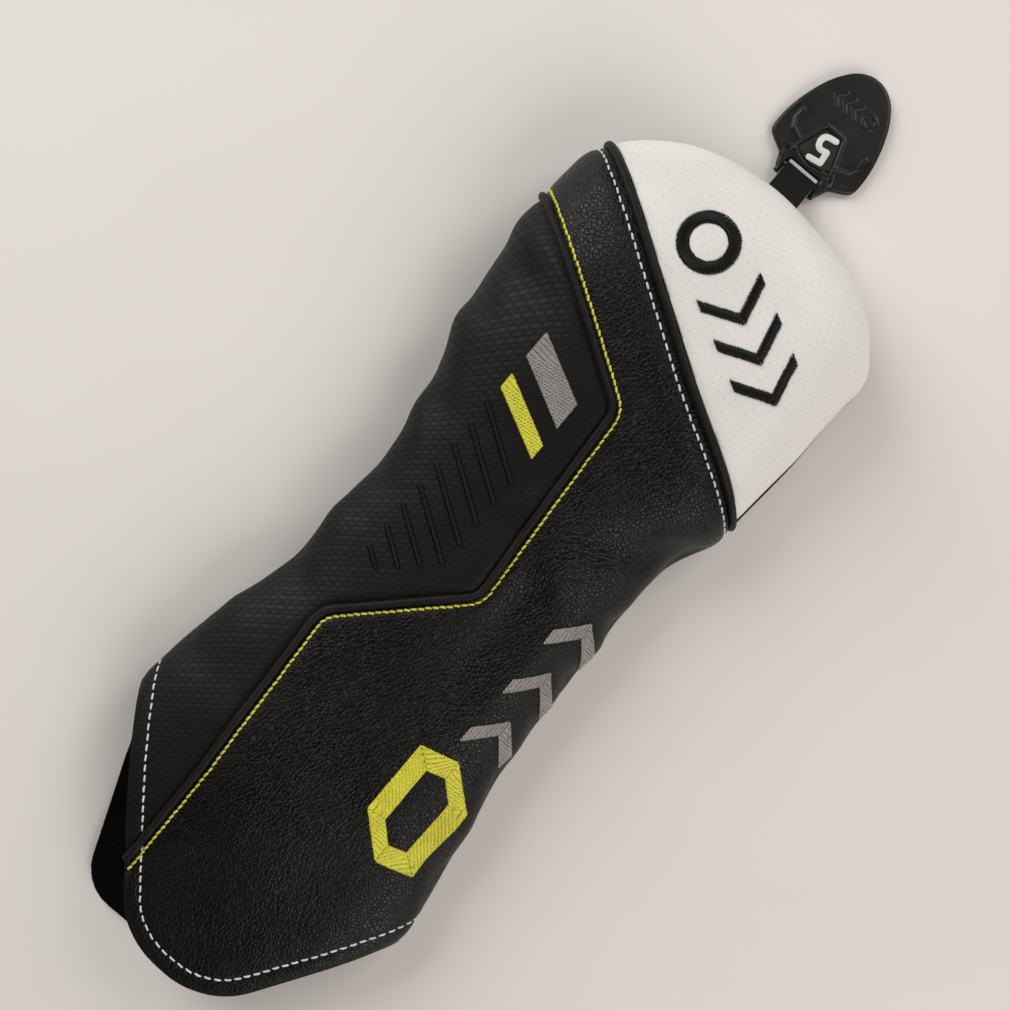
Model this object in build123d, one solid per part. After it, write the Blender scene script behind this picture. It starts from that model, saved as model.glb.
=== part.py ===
from build123d import *
import math
import os

# Fairway-wood headcover lying on its back, with its number tag folded out on the table.
# +Y runs from the mouth to the crown, +X to the right, +Z up. The origin is on the table,
# under the middle of the whole object. All lengths are millimetres.

os.makedirs("parts", exist_ok=True)

# ---------------------------------------------------------------- driving dimensions
SEAM_Z = 11.0           # height of the side seams, where front and back panels meet
BELLY = 2.5             # how far the round back would reach below the table before it flattens
SIDE_POWER = 0.80       # squareness of the upper half of a section (1 is an ellipse)
BACK_POWER = 0.62       # squareness of the lower half
RING_POINTS = 20        # points in one section ring
STATION_PARTS = 2       # spans that each gap between two stations is divided into

SKIN = 1.2              # leather and coated fabric
PADDING = 1.6           # foam between skin and lining
LINING = 1.5            # fleece, pressed flat
AIR = 0.1               # gap between neighbouring layers
SEAM_GAP = 0.2          # gap between two panels that meet in a seam

PIPING_RISE = 1.5       # how far piping stands off the skin
EMBROIDERY_RISE = 0.9
THREAD_RISE = 0.6
THREAD_WIDTH = 0.9
EDGE_PIPING = 1.8       # height of the piping in the crown's edge seam

REACH = 90.0            # how far a cutting outline runs past the cover on either side
TALL = 120.0            # height of the cutting prisms

# Section rings from the mouth to the crown: left seam point, right seam point, height of the
# ring's top, and how much of a layer's inset is taken along the length (1 at the blunt end).
STATIONS = [
    ((-64.3, -194.5), (55.5, -202.2), 18.5, 0.0),
    ((-61.6, -151.6), (58.2, -159.3), 26.0, 0.0),
    ((-59.5, -119.7), (60.3, -127.4), 30.0, 0.0),
    ((-55.4, -90.8), (55.9, -99.4), 31.5, 0.0),
    ((-47.2, -58.3), (51.0, -69.4), 31.5, 0.0),
    ((-45.8, -31.9), (48.9, -41.6), 31.5, 0.0),
    ((-45.2, -5.9), (48.2, -12.4), 33.0, 0.0),
    ((-49.2, 16.2), (47.9, 12.7), 35.5, 0.0),
    ((-56.5, 44.0), (53.8, 29.5), 39.0, 0.0),
    ((-59.7, 83.7), (55.8, 37.2), 42.0, 0.0),
    ((-54.5, 109.4), (56.2, 46.5), 44.0, 0.10),
    ((-35.7, 125.9), (58.0, 70.0), 45.0, 0.25),
    ((-7.9, 132.7), (58.1, 89.6), 42.5, 0.55),
    ((22.9, 130.0), (59.0, 102.2), 34.0, 0.85),
    ((39.0, 124.0), (55.0, 109.9), 24.0, 1.0),
]

# Seam and hem outlines in plan, left to right.
CROWN_SEAM = [(-REACH, 137), (-15, 85.9), (17.6, 65.0), (47.5, 49.3), (REACH, 21), (REACH, 2 * TALL),
              (-REACH, 2 * TALL)]
CROWN_SEAM_RADII = [0, 300, 200, 120, 0, 0, 0]
CHEVRON = [(-REACH, 107), (4.8, 45.4), (9.8, -27.5), (-25.4, -62.6), (-22, -122),
           (-21.6, -2 * TALL), (-REACH, -2 * TALL)]
CHEVRON_RADII = [0, 9, 10, 9, 40, 0, 0]
FRONT_LIP = [(-REACH, -76.0), (-9.6, -183.7), (24.3, -183.7), (REACH, -84), (REACH, 2 * TALL),
             (-REACH, 2 * TALL)]
FRONT_LIP_RADII = [0, 29, 29, 0, 0, 0]
REAR_LIP = [(-REACH, -39), (-31.0, -185.8), (10, -185.8), (REACH, -92), (REACH, 2 * TALL),
            (-REACH, 2 * TALL)]
REAR_LIP_RADII = [0, 16, 28, 0, 0, 0]

CHEVRON_PIPING = (1.2, 3.8)     # near and far edge of the piping, from the yellow stitch line
CROWN_PIPING = (0.2, 3.0)       # near and far edge of the piping, from the white panel's edge
CROWN_STITCH = 5.3              # white stitch line, from the white panel's edge
HEM_STITCH = 5.6                # white stitch line, from the lip's edge
PADDING_HEM = 8.0               # foam stops this far from the lips' edges

# Embroidered bars on the carbon panel: they all run between two lines along the length.
BAR_LEFT = -29.0
BAR_RIGHT = -7.4
BAR_SLOPE = -0.67
BAR_WIDTH = 2.2
BAR_COUNT = 8
BAR_PITCH = 8.25
FIRST_BAR_Y = -36.5
SHORT_BAR_RUN = 6.2             # run of the shortest bar, nearest the mouth
BAR_RUN_STEP = 5.0
YELLOW_BAR_Y = (27.6, 33.3)     # lower and upper end of its left edge
SILVER_BAR_Y = (39.8, 49.5)
WIDE_BAR_SLOPE = -0.52

# Crown motif: a ball and three chevrons on one line along the crown seam.
MOTIF_CENTRE = (12.0, 90.5)
MOTIF_ANGLE = -27.0
MOTIF_STROKE = 4.2
BALL_RADIUS = 10.0
BALL_OFFSET = -23.0
MOTIF_CHEVRONS = (-2.0, 11.0, 24.0)
CHEVRON_REACH = (9.0, 10.5)     # length along the line and half height across it

# Body motif along the right-hand side: a six-sided ring, then three chevrons that point at the crown.
BODY_RING_CENTRE = (36.0, -91.0)
BODY_RING = (12.8, 20.5, 7.5)           # half width, half length, how far each end is pointed
BODY_RING_SLANT = -0.35                 # rise for each step to the right
BODY_RING_STROKE = 6.8
BODY_CHEVRONS = ((40.0, -58.0), (40.2, -38.0), (40.2, -18.0))
SILVER_CHEVRON = (8.4, 9.0, 6.0)        # half width, rise, stroke

# Elastic that gathers the neck, inside the back.
ELASTIC_WIDTH = 8.0
ELASTIC_Y = (-20.0, 0.0, 20.0)
ELASTIC_SPAN = 54.0
ELASTIC_THICKNESS = 0.9

# Number tag and its strap.
TAG_THICKNESS = 3.4
TAG_SPLIT = 1.6                 # top of the back shell
TAG_EDGE = 0.6
TAG_TIP = (0.0, 187.6)
TAG_ARCS = [(8.2, 184.0), (13.4, 176.3), (16.6, 166.0), (17.7, 159.0), (17.0, 153.4)]
TAG_SHOULDER = [(14.4, 151.1), (10.8, 149.2)]
TAG_THROAT = [(9.4, 146.2), (7.0, 142.7)]
SLOT = (6.35, 149.6)            # half width and far edge; it is open towards the strap
BAR_AXIS = (147.0, 2.2)         # place (Y) and height of the round bar that the strap goes round
BAR_RADIUS = 1.1
WINDOW = [(3.3, 164.4), (7.1, 153.8), (0.0, 151.6)]
WINDOW_DEPTH = 1.0
PLATE_THICKNESS = 0.6
PLATE_GAP = 0.15                # between the plate and the window's sides
FILM = 0.02                     # hair gap under the numeral and the tag's motif
DIGIT_RISE = 0.3
DIGIT_STROKE = 2.1
DIGIT_CENTRE = (0.2, 158.1)
DIGIT_TURN = 190.0              # the numeral's top points at the strap
TAG_MOTIF_CENTRE = (0.0, 174.7)
TAG_MOTIF_RISE = 0.25
TAG_MOTIF_SCALE = 0.28          # size of the tag's motif beside the crown's

STRAP_WIDTH = 12.0
STRAP_PLY = 0.7
STRAP_LOOP_GAP = 0.3            # between the bar and the webbing round it
FLEX_AXIS = (134.6, 11.0)       # where the strap leaves the crown edge
STRIPE_RISE = 0.25


# ---------------------------------------------------------------- building blocks
STANDING = (Align.CENTER, Align.CENTER, Align.MIN)


def signed_power(value, power):
    return math.copysign(abs(value) ** power, value)


def ring(station, inset):
    """One closed section of the cover, drawn in by the inset."""
    (left_x, left_y), (right_x, right_y), top, lengthwise = station
    width = math.dist(station[0], station[1])
    across_x = (right_x - left_x) / width
    across_y = (right_y - left_y) / width
    half = width / 2 - inset * math.sqrt(1 - lengthwise ** 2)
    centre_x = (left_x + right_x) / 2 + across_y * inset * lengthwise
    centre_y = (left_y + right_y) / 2 - across_x * inset * lengthwise
    points = []
    for step in range(RING_POINTS):
        angle = 2 * math.pi * step / RING_POINTS
        upper = math.sin(angle) >= -1e-9
        power = SIDE_POWER if upper else BACK_POWER
        height = top - SEAM_Z - inset if upper else SEAM_Z + BELLY - inset
        offset = half * signed_power(math.cos(angle), power)
        rise = height * signed_power(math.sin(angle), power)
        points.append((centre_x + across_x * offset, centre_y + across_y * offset, SEAM_Z + rise))
    parameters = [float(step) for step in range(RING_POINTS + 1)]
    return Wire([Edge.make_spline([Vector(*point) for point in points], periodic=True,
                                  parameters=parameters)])


def slab(low, high):
    """Everything between two heights."""
    return Pos(0, 0, low) * Box(6 * REACH, 6 * REACH, high - low, align=STANDING)


def blend_stations(before, start, end, after, share):
    """A station part of the way between two, on a smooth curve through its neighbours."""
    def smooth(a, b, c, d):
        bend = 2 * a - 5 * b + 4 * c - d
        twist = 3 * b - a - 3 * c + d
        return b + 0.5 * share * (c - a + share * (bend + share * twist))

    def flat(station):
        return [*station[0], *station[1], *station[2:]]

    values = [smooth(*group) for group in zip(flat(before), flat(start), flat(end), flat(after))]
    return (values[0], values[1]), (values[2], values[3]), values[4], values[5]


def fine_stations():
    """The stations, with extra ones between them so that the form runs smoothly."""
    padded = [STATIONS[0], *STATIONS, STATIONS[-1]]
    stations = []
    for index in range(len(STATIONS) - 1):
        group = padded[index:index + 4]
        stations += [blend_stations(*group, part / STATION_PARTS) for part in range(STATION_PARTS)]
    return stations + [STATIONS[-1]]


def body(inset):
    """The cover's solid form, drawn in by the inset, with its flat back."""
    form = Solid.make_loft([ring(station, inset) for station in fine_stations()])
    return Part() + form & slab(max(inset, 0.0), TALL)


def prism(face):
    """A plan outline as a tall prism."""
    return Pos(0, 0, -TALL / 2) * extrude(face, TALL * 2)


def rounded_area(points, radii):
    """The plan area inside a line of points with rounded corners."""
    return make_face(FilletPolyline(*points, radius=radii, close=True).edges())


def band(face, near, far):
    """The strip between two offsets of an area's edge."""
    return offset(face, far) - offset(face, near)


def polygon(points):
    return make_face(Polyline(*points, close=True).edges())


def chevron(centre, half_width, rise, stroke, turn):
    """A V of one stroke, pointing along +Y before it is turned."""
    outline = [(-half_width, -rise / 2), (0, rise / 2), (half_width, -rise / 2),
               (half_width, -rise / 2 - stroke), (0, rise / 2 - stroke), (-half_width, -rise / 2 - stroke)]
    shape = Pos(*centre) * Rot(0, 0, turn) * Pos(0, stroke / 2) * polygon(outline)
    return Sketch() + shape


def save(name, *shapes):
    solids = []
    for shape in shapes:
        solids += shape.solids()
    part = Compound(label=name, children=solids) if len(solids) > 1 else solids[0]
    part.label = name
    export_step(part, f"parts/{name}.step")


# ---------------------------------------------------------------- the layered body
PADDING_INSET = SKIN + AIR
LINING_INSET = PADDING_INSET + PADDING + AIR

outer = body(0.0)
skin = outer - body(SKIN)
padding = body(PADDING_INSET) - body(PADDING_INSET + PADDING)
lining = body(LINING_INSET) - body(LINING_INSET + LINING)

above = slab(SEAM_Z + AIR / 2, TALL)
below = slab(-TALL, SEAM_Z - AIR / 2)

crown_area = rounded_area(CROWN_SEAM, CROWN_SEAM_RADII)
chevron_area = rounded_area(CHEVRON, CHEVRON_RADII)
front_lip_area = rounded_area(FRONT_LIP, FRONT_LIP_RADII)
rear_lip_area = rounded_area(REAR_LIP, REAR_LIP_RADII)

crown_prism = prism(crown_area)
skirt_prism = prism(offset(crown_area, SEAM_GAP))
front_lip = prism(front_lip_area)
rear_lip = prism(rear_lip_area)
carbon_side = prism(offset(chevron_area, -CHEVRON_PIPING[0] - SEAM_GAP))
leather_side = prism(offset(chevron_area, -CHEVRON_PIPING[0]))

front_skin = skin & above & front_lip
back_skin = skin & below & rear_lip
front_body = front_skin - skirt_prism
save("crown_front_panel", front_skin & crown_prism)
save("carbon_panel", front_body & carbon_side)
save("front_leather_panel", front_body - leather_side)
save("crown_back_panel", back_skin & crown_prism)
save("back_body_panel", back_skin - skirt_prism)

front_padding = padding & above & prism(offset(front_lip_area, -PADDING_HEM))
back_padding = padding & below & prism(offset(rear_lip_area, -PADDING_HEM))
save("crown_front_padding", front_padding & crown_prism)
save("body_front_padding", front_padding - skirt_prism)
save("crown_back_padding", back_padding & crown_prism)
save("body_back_padding", back_padding - skirt_prism)

save("front_lining", lining & above & front_lip)
save("back_lining", lining & below & rear_lip)

# ---------------------------------------------------------------- trims on the skin
skin_top = body(-AIR)
thread_layer = (body(-THREAD_RISE) - skin_top) & above & front_lip
embroidery_layer = (body(-EMBROIDERY_RISE) - skin_top) & above & front_lip
piping_layer = (body(-PIPING_RISE) - skin_top) & above & front_lip

outside_crown = slab(-TALL, TALL) - skirt_prism
chevron_band = band(chevron_area, -CHEVRON_PIPING[1], -CHEVRON_PIPING[0])
seam_band = band(crown_area, CROWN_PIPING[0], CROWN_PIPING[1])
below_seam_piping = slab(-TALL, TALL) - prism(offset(crown_area, CROWN_PIPING[1] + SEAM_GAP))

save("crown_seam_piping", piping_layer & prism(seam_band))
save("chevron_piping", piping_layer & prism(chevron_band) & below_seam_piping)


def stitch_line(area, distance):
    """A continuous line of thread at a distance from an area's edge."""
    return thread_layer & prism(band(area, distance - THREAD_WIDTH / 2, distance + THREAD_WIDTH / 2))


crown_topstitch = stitch_line(crown_area, CROWN_STITCH)
save("crown_topstitch", crown_topstitch)
past_topstitch = prism(offset(crown_area, CROWN_STITCH + THREAD_WIDTH))
save("chevron_topstitch", stitch_line(chevron_area, 0.0) - past_topstitch)
chevron_gap = prism(band(chevron_area, -CHEVRON_PIPING[1] - SEAM_GAP, THREAD_WIDTH))
save("hem_topstitch", stitch_line(front_lip_area, -HEM_STITCH) - chevron_gap)

# Thin piping in the crown's edge seam, left out where the tag's strap comes through.
edge_layer = (body(-EMBROIDERY_RISE) - skin_top) & slab(SEAM_Z - EDGE_PIPING / 2, SEAM_Z + EDGE_PIPING / 2)
strap_gap = Pos(0, FLEX_AXIS[0], SEAM_Z) * Box(STRAP_WIDTH + 2, 12, 12)
seam_end_gap = prism(offset(crown_area, -CROWN_PIPING[0]))
save("crown_edge_piping", (edge_layer & seam_end_gap) - strap_gap)

# ---------------------------------------------------------------- embroidery
def slanted_bar(low_y, high_y, left, right, slope):
    """A bar with upright ends, falling to the right."""
    drop = (right - left) * slope
    return polygon([(left, low_y), (left, high_y), (right, high_y + drop), (right, low_y + drop)])


bars = []
for index in range(BAR_COUNT):
    right = min(BAR_LEFT + SHORT_BAR_RUN + BAR_RUN_STEP * index, BAR_RIGHT)
    middle = FIRST_BAR_Y + BAR_PITCH * index
    outline = slanted_bar(middle - BAR_WIDTH / 2, middle + BAR_WIDTH / 2, BAR_LEFT, right, BAR_SLOPE)
    bars.append(embroidery_layer & prism(outline))
save("black_accent_bars", *bars)
yellow_bar = slanted_bar(*YELLOW_BAR_Y, BAR_LEFT, BAR_RIGHT, WIDE_BAR_SLOPE)
save("yellow_accent_bar", embroidery_layer & prism(yellow_bar))
silver_bar = slanted_bar(*SILVER_BAR_Y, BAR_LEFT, BAR_RIGHT, WIDE_BAR_SLOPE)
save("silver_accent_bar", embroidery_layer & prism(silver_bar))

def motif(size):
    """A ball and three chevrons on one line, at full size or scaled."""
    ball = Circle(BALL_RADIUS * size) - Circle((BALL_RADIUS - MOTIF_STROKE) * size)
    length, half_height = CHEVRON_REACH
    shapes = [Pos(BALL_OFFSET * size, 0) * ball]
    for along in MOTIF_CHEVRONS:
        arms = (half_height * size, length * size, MOTIF_STROKE * size)
        shapes.append(chevron((along * size, 0), *arms, -90))
    return shapes


motif_place = Pos(*MOTIF_CENTRE) * Rot(0, 0, MOTIF_ANGLE)
save("crown_motif", *[embroidery_layer & prism(motif_place * shape) for shape in motif(1)])


def slanted_hexagon(half_width, half_length, point):
    """A six-sided outline, pointed at both ends of its length and slanted."""
    side = half_length - point
    corners = [(0, half_length), (half_width, side), (half_width, -side), (0, -half_length),
               (-half_width, -side), (-half_width, side)]
    return Pos(*BODY_RING_CENTRE) * polygon([(x, y + BODY_RING_SLANT * x) for x, y in corners])


ring_width, ring_length, ring_point = BODY_RING
ring_hole = slanted_hexagon(ring_width - BODY_RING_STROKE, ring_length - BODY_RING_STROKE, ring_point / 2)
body_ring = slanted_hexagon(ring_width, ring_length, ring_point) - ring_hole
silver_motif = [chevron(centre, *SILVER_CHEVRON, 0) for centre in BODY_CHEVRONS]
save("yellow_body_motif", embroidery_layer & prism(body_ring))
save("silver_body_motif", *[embroidery_layer & prism(shape) for shape in silver_motif])

# ---------------------------------------------------------------- neck elastic
# Flat bands that lie on the back lining, inside the neck.
elastic_floor = LINING_INSET + LINING + AIR
for name, place in zip(("lower", "middle", "upper"), ELASTIC_Y):
    strip = Box(ELASTIC_SPAN, ELASTIC_WIDTH, ELASTIC_THICKNESS, align=STANDING)
    save(f"neck_elastic_{name}", Pos(0, place, elastic_floor) * strip)

# ---------------------------------------------------------------- number tag
def mirror(point):
    return -point[0], point[1]


def tag_side(place):
    """One side of the tag's outline, from its tip to its throat."""
    points = [place(point) for point in TAG_ARCS + TAG_SHOULDER + TAG_THROAT]
    return [ThreePointArc(*points[0:3]), ThreePointArc(*points[2:5]), Line(*points[4:6]),
            Line(*points[5:7]), ThreePointArc(*points[6:9])]


tag_edges = [ThreePointArc(mirror(TAG_ARCS[0]), TAG_TIP, TAG_ARCS[0])]
tag_edges += tag_side(tuple) + tag_side(mirror)
tag_edges.append(Line(TAG_THROAT[-1], mirror(TAG_THROAT[-1])))
tag_area = make_face(tag_edges)
slot_half, slot_far = SLOT
slot_area = polygon([(-slot_half, 120), (slot_half, 120), (slot_half, slot_far), (-slot_half, slot_far)])
window_area = make_face(
    Polyline((-WINDOW[1][0], WINDOW[1][1]), (-WINDOW[0][0], WINDOW[0][1]), WINDOW[0], WINDOW[1]).edges()
    + ThreePointArc(WINDOW[1], WINDOW[2], (-WINDOW[1][0], WINDOW[1][1])).edges())

tag_plan = tag_area - slot_area
tag_face = offset(tag_area, -TAG_EDGE) - offset(slot_area, TAG_EDGE)
back_shell = extrude(tag_face, TAG_SPLIT) + Pos(0, 0, TAG_EDGE) * extrude(tag_plan, TAG_SPLIT - TAG_EDGE)
front_height = TAG_THICKNESS - TAG_SPLIT - AIR
front_shell = extrude(tag_face, front_height) + extrude(tag_plan, front_height - TAG_EDGE)
front_shell = Pos(0, 0, TAG_SPLIT + AIR) * front_shell
window_cut = Pos(0, 0, TAG_THICKNESS - WINDOW_DEPTH) * extrude(window_area, 5)
round_bar = Pos(0, *BAR_AXIS) * Rot(0, 90, 0) * Cylinder(BAR_RADIUS, 2 * slot_half + 1.6)
front_shell = front_shell - window_cut + round_bar
save("tag_back_shell", back_shell - Pos(0, *BAR_AXIS) * Rot(0, 90, 0) * Cylinder(BAR_RADIUS + AIR, 40))
save("tag_front_shell", front_shell)

plate_z = TAG_THICKNESS - WINDOW_DEPTH + AIR
save("tag_number_plate", Pos(0, 0, plate_z) * extrude(offset(window_area, -PLATE_GAP), PLATE_THICKNESS))

digit_strokes = [
    Polyline((3.0, 4.3), (-1.6, 4.3), (-1.9, 0.2)),
    Spline((-1.9, 0.2), (0.3, 0.35), (1.7, -0.5), (2.1, -2.2), (1.5, -3.9), (-0.2, -4.5), (-2.9, -4.5)),
]
digit = Sketch()
for stroke in digit_strokes:
    digit += trace(stroke, DIGIT_STROKE)
digit_place = Pos(*DIGIT_CENTRE, plate_z + PLATE_THICKNESS + FILM) * Rot(0, 0, DIGIT_TURN)
save("tag_number", digit_place * extrude(digit, DIGIT_RISE))

tag_motif_place = Pos(*TAG_MOTIF_CENTRE, TAG_THICKNESS + FILM) * Rot(0, 0, 180)
save("tag_motif", *[tag_motif_place * extrude(shape, TAG_MOTIF_RISE) for shape in motif(TAG_MOTIF_SCALE)])

# ---------------------------------------------------------------- strap
# Two plies of webbing sewn together, from the crown's edge to a loop round the tag's bar.
bar_y, bar_z = BAR_AXIS
flex_y, flex_z = FLEX_AXIS
loop_inner = BAR_RADIUS + STRAP_LOOP_GAP
loop_outer = loop_inner + STRAP_PLY
side_top = [(flex_y, flex_z + STRAP_PLY), (flex_y + 3.2, flex_z - 1.0), (flex_y + 7.0, flex_z - 5.2),
            (bar_y - 1.2, bar_z + loop_outer - 0.45)]
side_bottom = [(bar_y - 1.9, bar_z - 0.4), (flex_y + 6.0, flex_z - 6.3), (flex_y + 2.3, flex_z - 2.2),
               (flex_y, flex_z - STRAP_PLY)]
side_face = make_face(Spline(*side_top).edges() + Polyline(side_top[-1], side_bottom[0]).edges()
                      + Spline(*side_bottom).edges() + Polyline(side_bottom[-1], side_top[0]).edges())
side_face += Pos(bar_y, bar_z) * Circle(loop_outer)
side_face += Pos(flex_y, flex_z) * Circle(STRAP_PLY)
side_face -= Pos(bar_y, bar_z) * Circle(loop_inner)
across = Plane(origin=(-STRAP_WIDTH / 2, 0, 0), x_dir=(0, 1, 0), z_dir=(1, 0, 0))
save("tag_strap", extrude(across * side_face, STRAP_WIDTH))

stripe_ring = Circle(loop_outer + STRIPE_RISE) - Circle(loop_outer + FILM)
stripe_sector = Polygon((0, 0), (2.2, 6), (5.4, 6), align=None)
stripe_face = Pos(bar_y, bar_z) * (stripe_ring & stripe_sector)
save("strap_stripe", extrude(across * stripe_face, STRAP_WIDTH))
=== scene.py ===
import math

import bpy
import numpy as np
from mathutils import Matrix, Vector
from mathutils.bvhtree import BVHTree


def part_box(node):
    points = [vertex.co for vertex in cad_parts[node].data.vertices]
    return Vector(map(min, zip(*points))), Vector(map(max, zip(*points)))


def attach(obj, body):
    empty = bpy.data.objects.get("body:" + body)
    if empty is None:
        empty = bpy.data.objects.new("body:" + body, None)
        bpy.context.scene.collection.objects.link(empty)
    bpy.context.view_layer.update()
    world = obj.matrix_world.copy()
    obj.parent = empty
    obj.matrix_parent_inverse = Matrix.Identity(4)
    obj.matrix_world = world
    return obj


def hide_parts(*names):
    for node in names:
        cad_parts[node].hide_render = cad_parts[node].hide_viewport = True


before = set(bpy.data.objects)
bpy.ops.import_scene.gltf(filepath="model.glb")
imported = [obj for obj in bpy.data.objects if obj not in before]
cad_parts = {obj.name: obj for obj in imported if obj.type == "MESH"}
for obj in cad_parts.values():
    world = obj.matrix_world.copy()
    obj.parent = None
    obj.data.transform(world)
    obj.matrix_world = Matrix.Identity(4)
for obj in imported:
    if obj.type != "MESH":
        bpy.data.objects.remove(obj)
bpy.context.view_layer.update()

MM = 0.001
rng = np.random.default_rng(5)

# ---------------------------------------------------------------- the cover's form, in millimetres
SEAM_Z = 11.0           # height of the side seams
BELLY = 2.5             # the round back flattens where it would reach below the table
SIDE_POWER = 0.80
BACK_POWER = 0.62
SKIN = 1.2
FLOOR_CLEAR = 0.03

# Left seam point, right seam point and top height of each section, from the mouth to the crown.
STATIONS = np.array([
    (-64.3, -194.5, 55.5, -202.2, 18.5),
    (-61.6, -151.6, 58.2, -159.3, 26.0),
    (-59.5, -119.7, 60.3, -127.4, 30.0),
    (-55.4, -90.8, 55.9, -99.4, 31.5),
    (-47.2, -58.3, 51.0, -69.4, 31.5),
    (-45.8, -31.9, 48.9, -41.6, 31.5),
    (-45.2, -5.9, 48.2, -12.4, 33.0),
    (-49.2, 16.2, 47.9, 12.7, 35.5),
    (-56.5, 44.0, 53.8, 29.5, 39.0),
    (-59.7, 83.7, 55.8, 37.2, 42.0),
    (-54.5, 109.4, 56.2, 46.5, 44.0),
    (-35.7, 125.9, 58.0, 70.0, 45.0),
    (-7.9, 132.7, 58.1, 89.6, 42.5),
    (22.9, 130.0, 59.0, 102.2, 34.0),
    (39.0, 124.0, 55.0, 109.9, 24.0),
])
CAP_LENGTH = 2.6        # how far the blunt crown end bulges past the last section
CAP_ROWS = 7
CELL = 0.85

# Seam and hem outlines in plan, with the radius of each corner.
CROWN_SEAM = [(-90, 137, 0), (-15, 85.9, 300), (17.6, 65.0, 200), (47.5, 49.3, 120), (90, 21, 0)]
CHEVRON = [(-90, 107, 0), (4.8, 45.4, 9), (9.8, -27.5, 10), (-25.4, -62.6, 9), (-22, -122, 40),
           (-21.6, -240, 0)]
FRONT_LIP = [(-90, -76.0, 0), (-9.6, -183.7, 29), (24.3, -183.7, 29), (90, -84, 0)]
REAR_LIP = [(-90, -39, 0), (-31.0, -185.8, 16), (10, -185.8, 28), (90, -92, 0)]
CHEVRON_PIPING = 2.5    # centre of the piping, from the yellow stitch line
CROWN_PIPING = 1.75     # centre of the piping, from the white panel's edge
CROWN_STITCH = 5.3
HEM_STITCH = 5.6
STRAP_WIDTH = 12.0


# ---------------------------------------------------------------- curves
def rounded_line(corners, step=0.5):
    """A plan line through corners that are rounded to their radii, as close points."""
    points = [np.array(corners[0][:2], float)]
    for before, here, after in zip(corners, corners[1:], corners[2:]):
        a, b, c = (np.array(p[:2], float) for p in (before, here, after))
        into = (b - a) / np.linalg.norm(b - a)
        out = (c - b) / np.linalg.norm(c - b)
        turn = math.atan2(into[0] * out[1] - into[1] * out[0], float(into @ out))
        reach = here[2] * math.tan(abs(turn) / 2)
        start = b - into * reach
        side = np.array([-into[1], into[0]]) * math.copysign(1, turn)
        centre = start + side * here[2]
        count = max(2, int(abs(turn) * here[2] / step))
        for k in range(count + 1):
            angle = turn * k / count
            spoke = start - centre
            swing = np.array([spoke[0] * math.cos(angle) - spoke[1] * math.sin(angle),
                              spoke[0] * math.sin(angle) + spoke[1] * math.cos(angle)])
            points.append(centre + swing)
    points.append(np.array(corners[-1][:2], float))
    return resample(np.array(points), step)


def resample(points, step):
    """The same line with evenly spaced points."""
    gaps = np.linalg.norm(np.diff(points, axis=0), axis=1)
    along = np.concatenate([[0], np.cumsum(gaps)])
    count = max(2, int(along[-1] / step))
    places = np.linspace(0, along[-1], count + 1)
    return np.stack([np.interp(places, along, points[:, k]) for k in range(points.shape[1])], axis=1)


def line_normals(line):
    """Unit vectors to the left of a plan line."""
    tangent = np.gradient(line, axis=0)
    tangent /= np.linalg.norm(tangent, axis=1)[:, None]
    return np.stack([-tangent[:, 1], tangent[:, 0]], axis=1)


def signed_distance(places, line):
    """Distance from plan places to a line, positive on its left."""
    result = np.empty(len(places))
    start, run = line[:-1], np.diff(line, axis=0)
    length2 = (run ** 2).sum(1)
    for first in range(0, len(places), 4000):
        here = places[first:first + 4000, None, :2]
        share = np.clip(((here - start) * run).sum(2) / length2, 0, 1)
        gap = here - (start + share[..., None] * run)
        distance = np.hypot(gap[..., 0], gap[..., 1])
        nearest = distance.argmin(1)
        rows = np.arange(len(nearest))
        near_gap = gap[rows, nearest]
        near_run = run[nearest]
        side = near_run[:, 0] * near_gap[:, 1] - near_run[:, 1] * near_gap[:, 0]
        result[first:first + 4000] = distance[rows, nearest] * np.where(side >= 0, 1, -1)
    return result


crown_line = rounded_line(CROWN_SEAM, 0.8)
chevron_line = rounded_line(CHEVRON, 0.8)
front_lip_line = rounded_line(FRONT_LIP, 0.8)
rear_lip_line = rounded_line(REAR_LIP, 0.8)


# ---------------------------------------------------------------- smooth noise
def value_noise(x, y, seed):
    """Smooth random values from -1 to 1 on a unit lattice."""
    table = np.random.default_rng(seed).uniform(-1, 1, (64, 64))
    xi, yi = np.floor(x).astype(int), np.floor(y).astype(int)
    xf, yf = x - xi, y - yi
    xs, ys = xf * xf * (3 - 2 * xf), yf * yf * (3 - 2 * yf)
    corner = [[table[(xi + i) % 64, (yi + j) % 64] for j in (0, 1)] for i in (0, 1)]
    low = corner[0][0] * (1 - xs) + corner[1][0] * xs
    high = corner[0][1] * (1 - xs) + corner[1][1] * xs
    return low * (1 - ys) + high * ys


# ---------------------------------------------------------------- the surface grid
def grid_quads(rows, columns):
    """The faces of a grid whose points run along its rows."""
    first = (np.arange(rows - 1)[:, None] * columns + np.arange(columns - 1)[None, :]).reshape(-1)
    return np.stack([first, first + 1, first + columns + 1, first + columns], axis=1)


def smooth_curve(a, b, c, d, share):
    """A point from b (share 0) to c (share 1) on a smooth curve that heeds a and d."""
    return b + 0.5 * share * (c - a + share * (2 * a - 5 * b + 4 * c - d + share * (3 * b - a - 3 * c + d)))


def station_values(place):
    """The section at a place along the cover, on a smooth curve through the stations."""
    padded = np.vstack([STATIONS[:1], STATIONS, STATIONS[-1:]])
    index = np.minimum(place.astype(int), len(STATIONS) - 2)
    share = (place - index)[:, None]
    return smooth_curve(*(padded[index + k] for k in range(4)), share)


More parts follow.
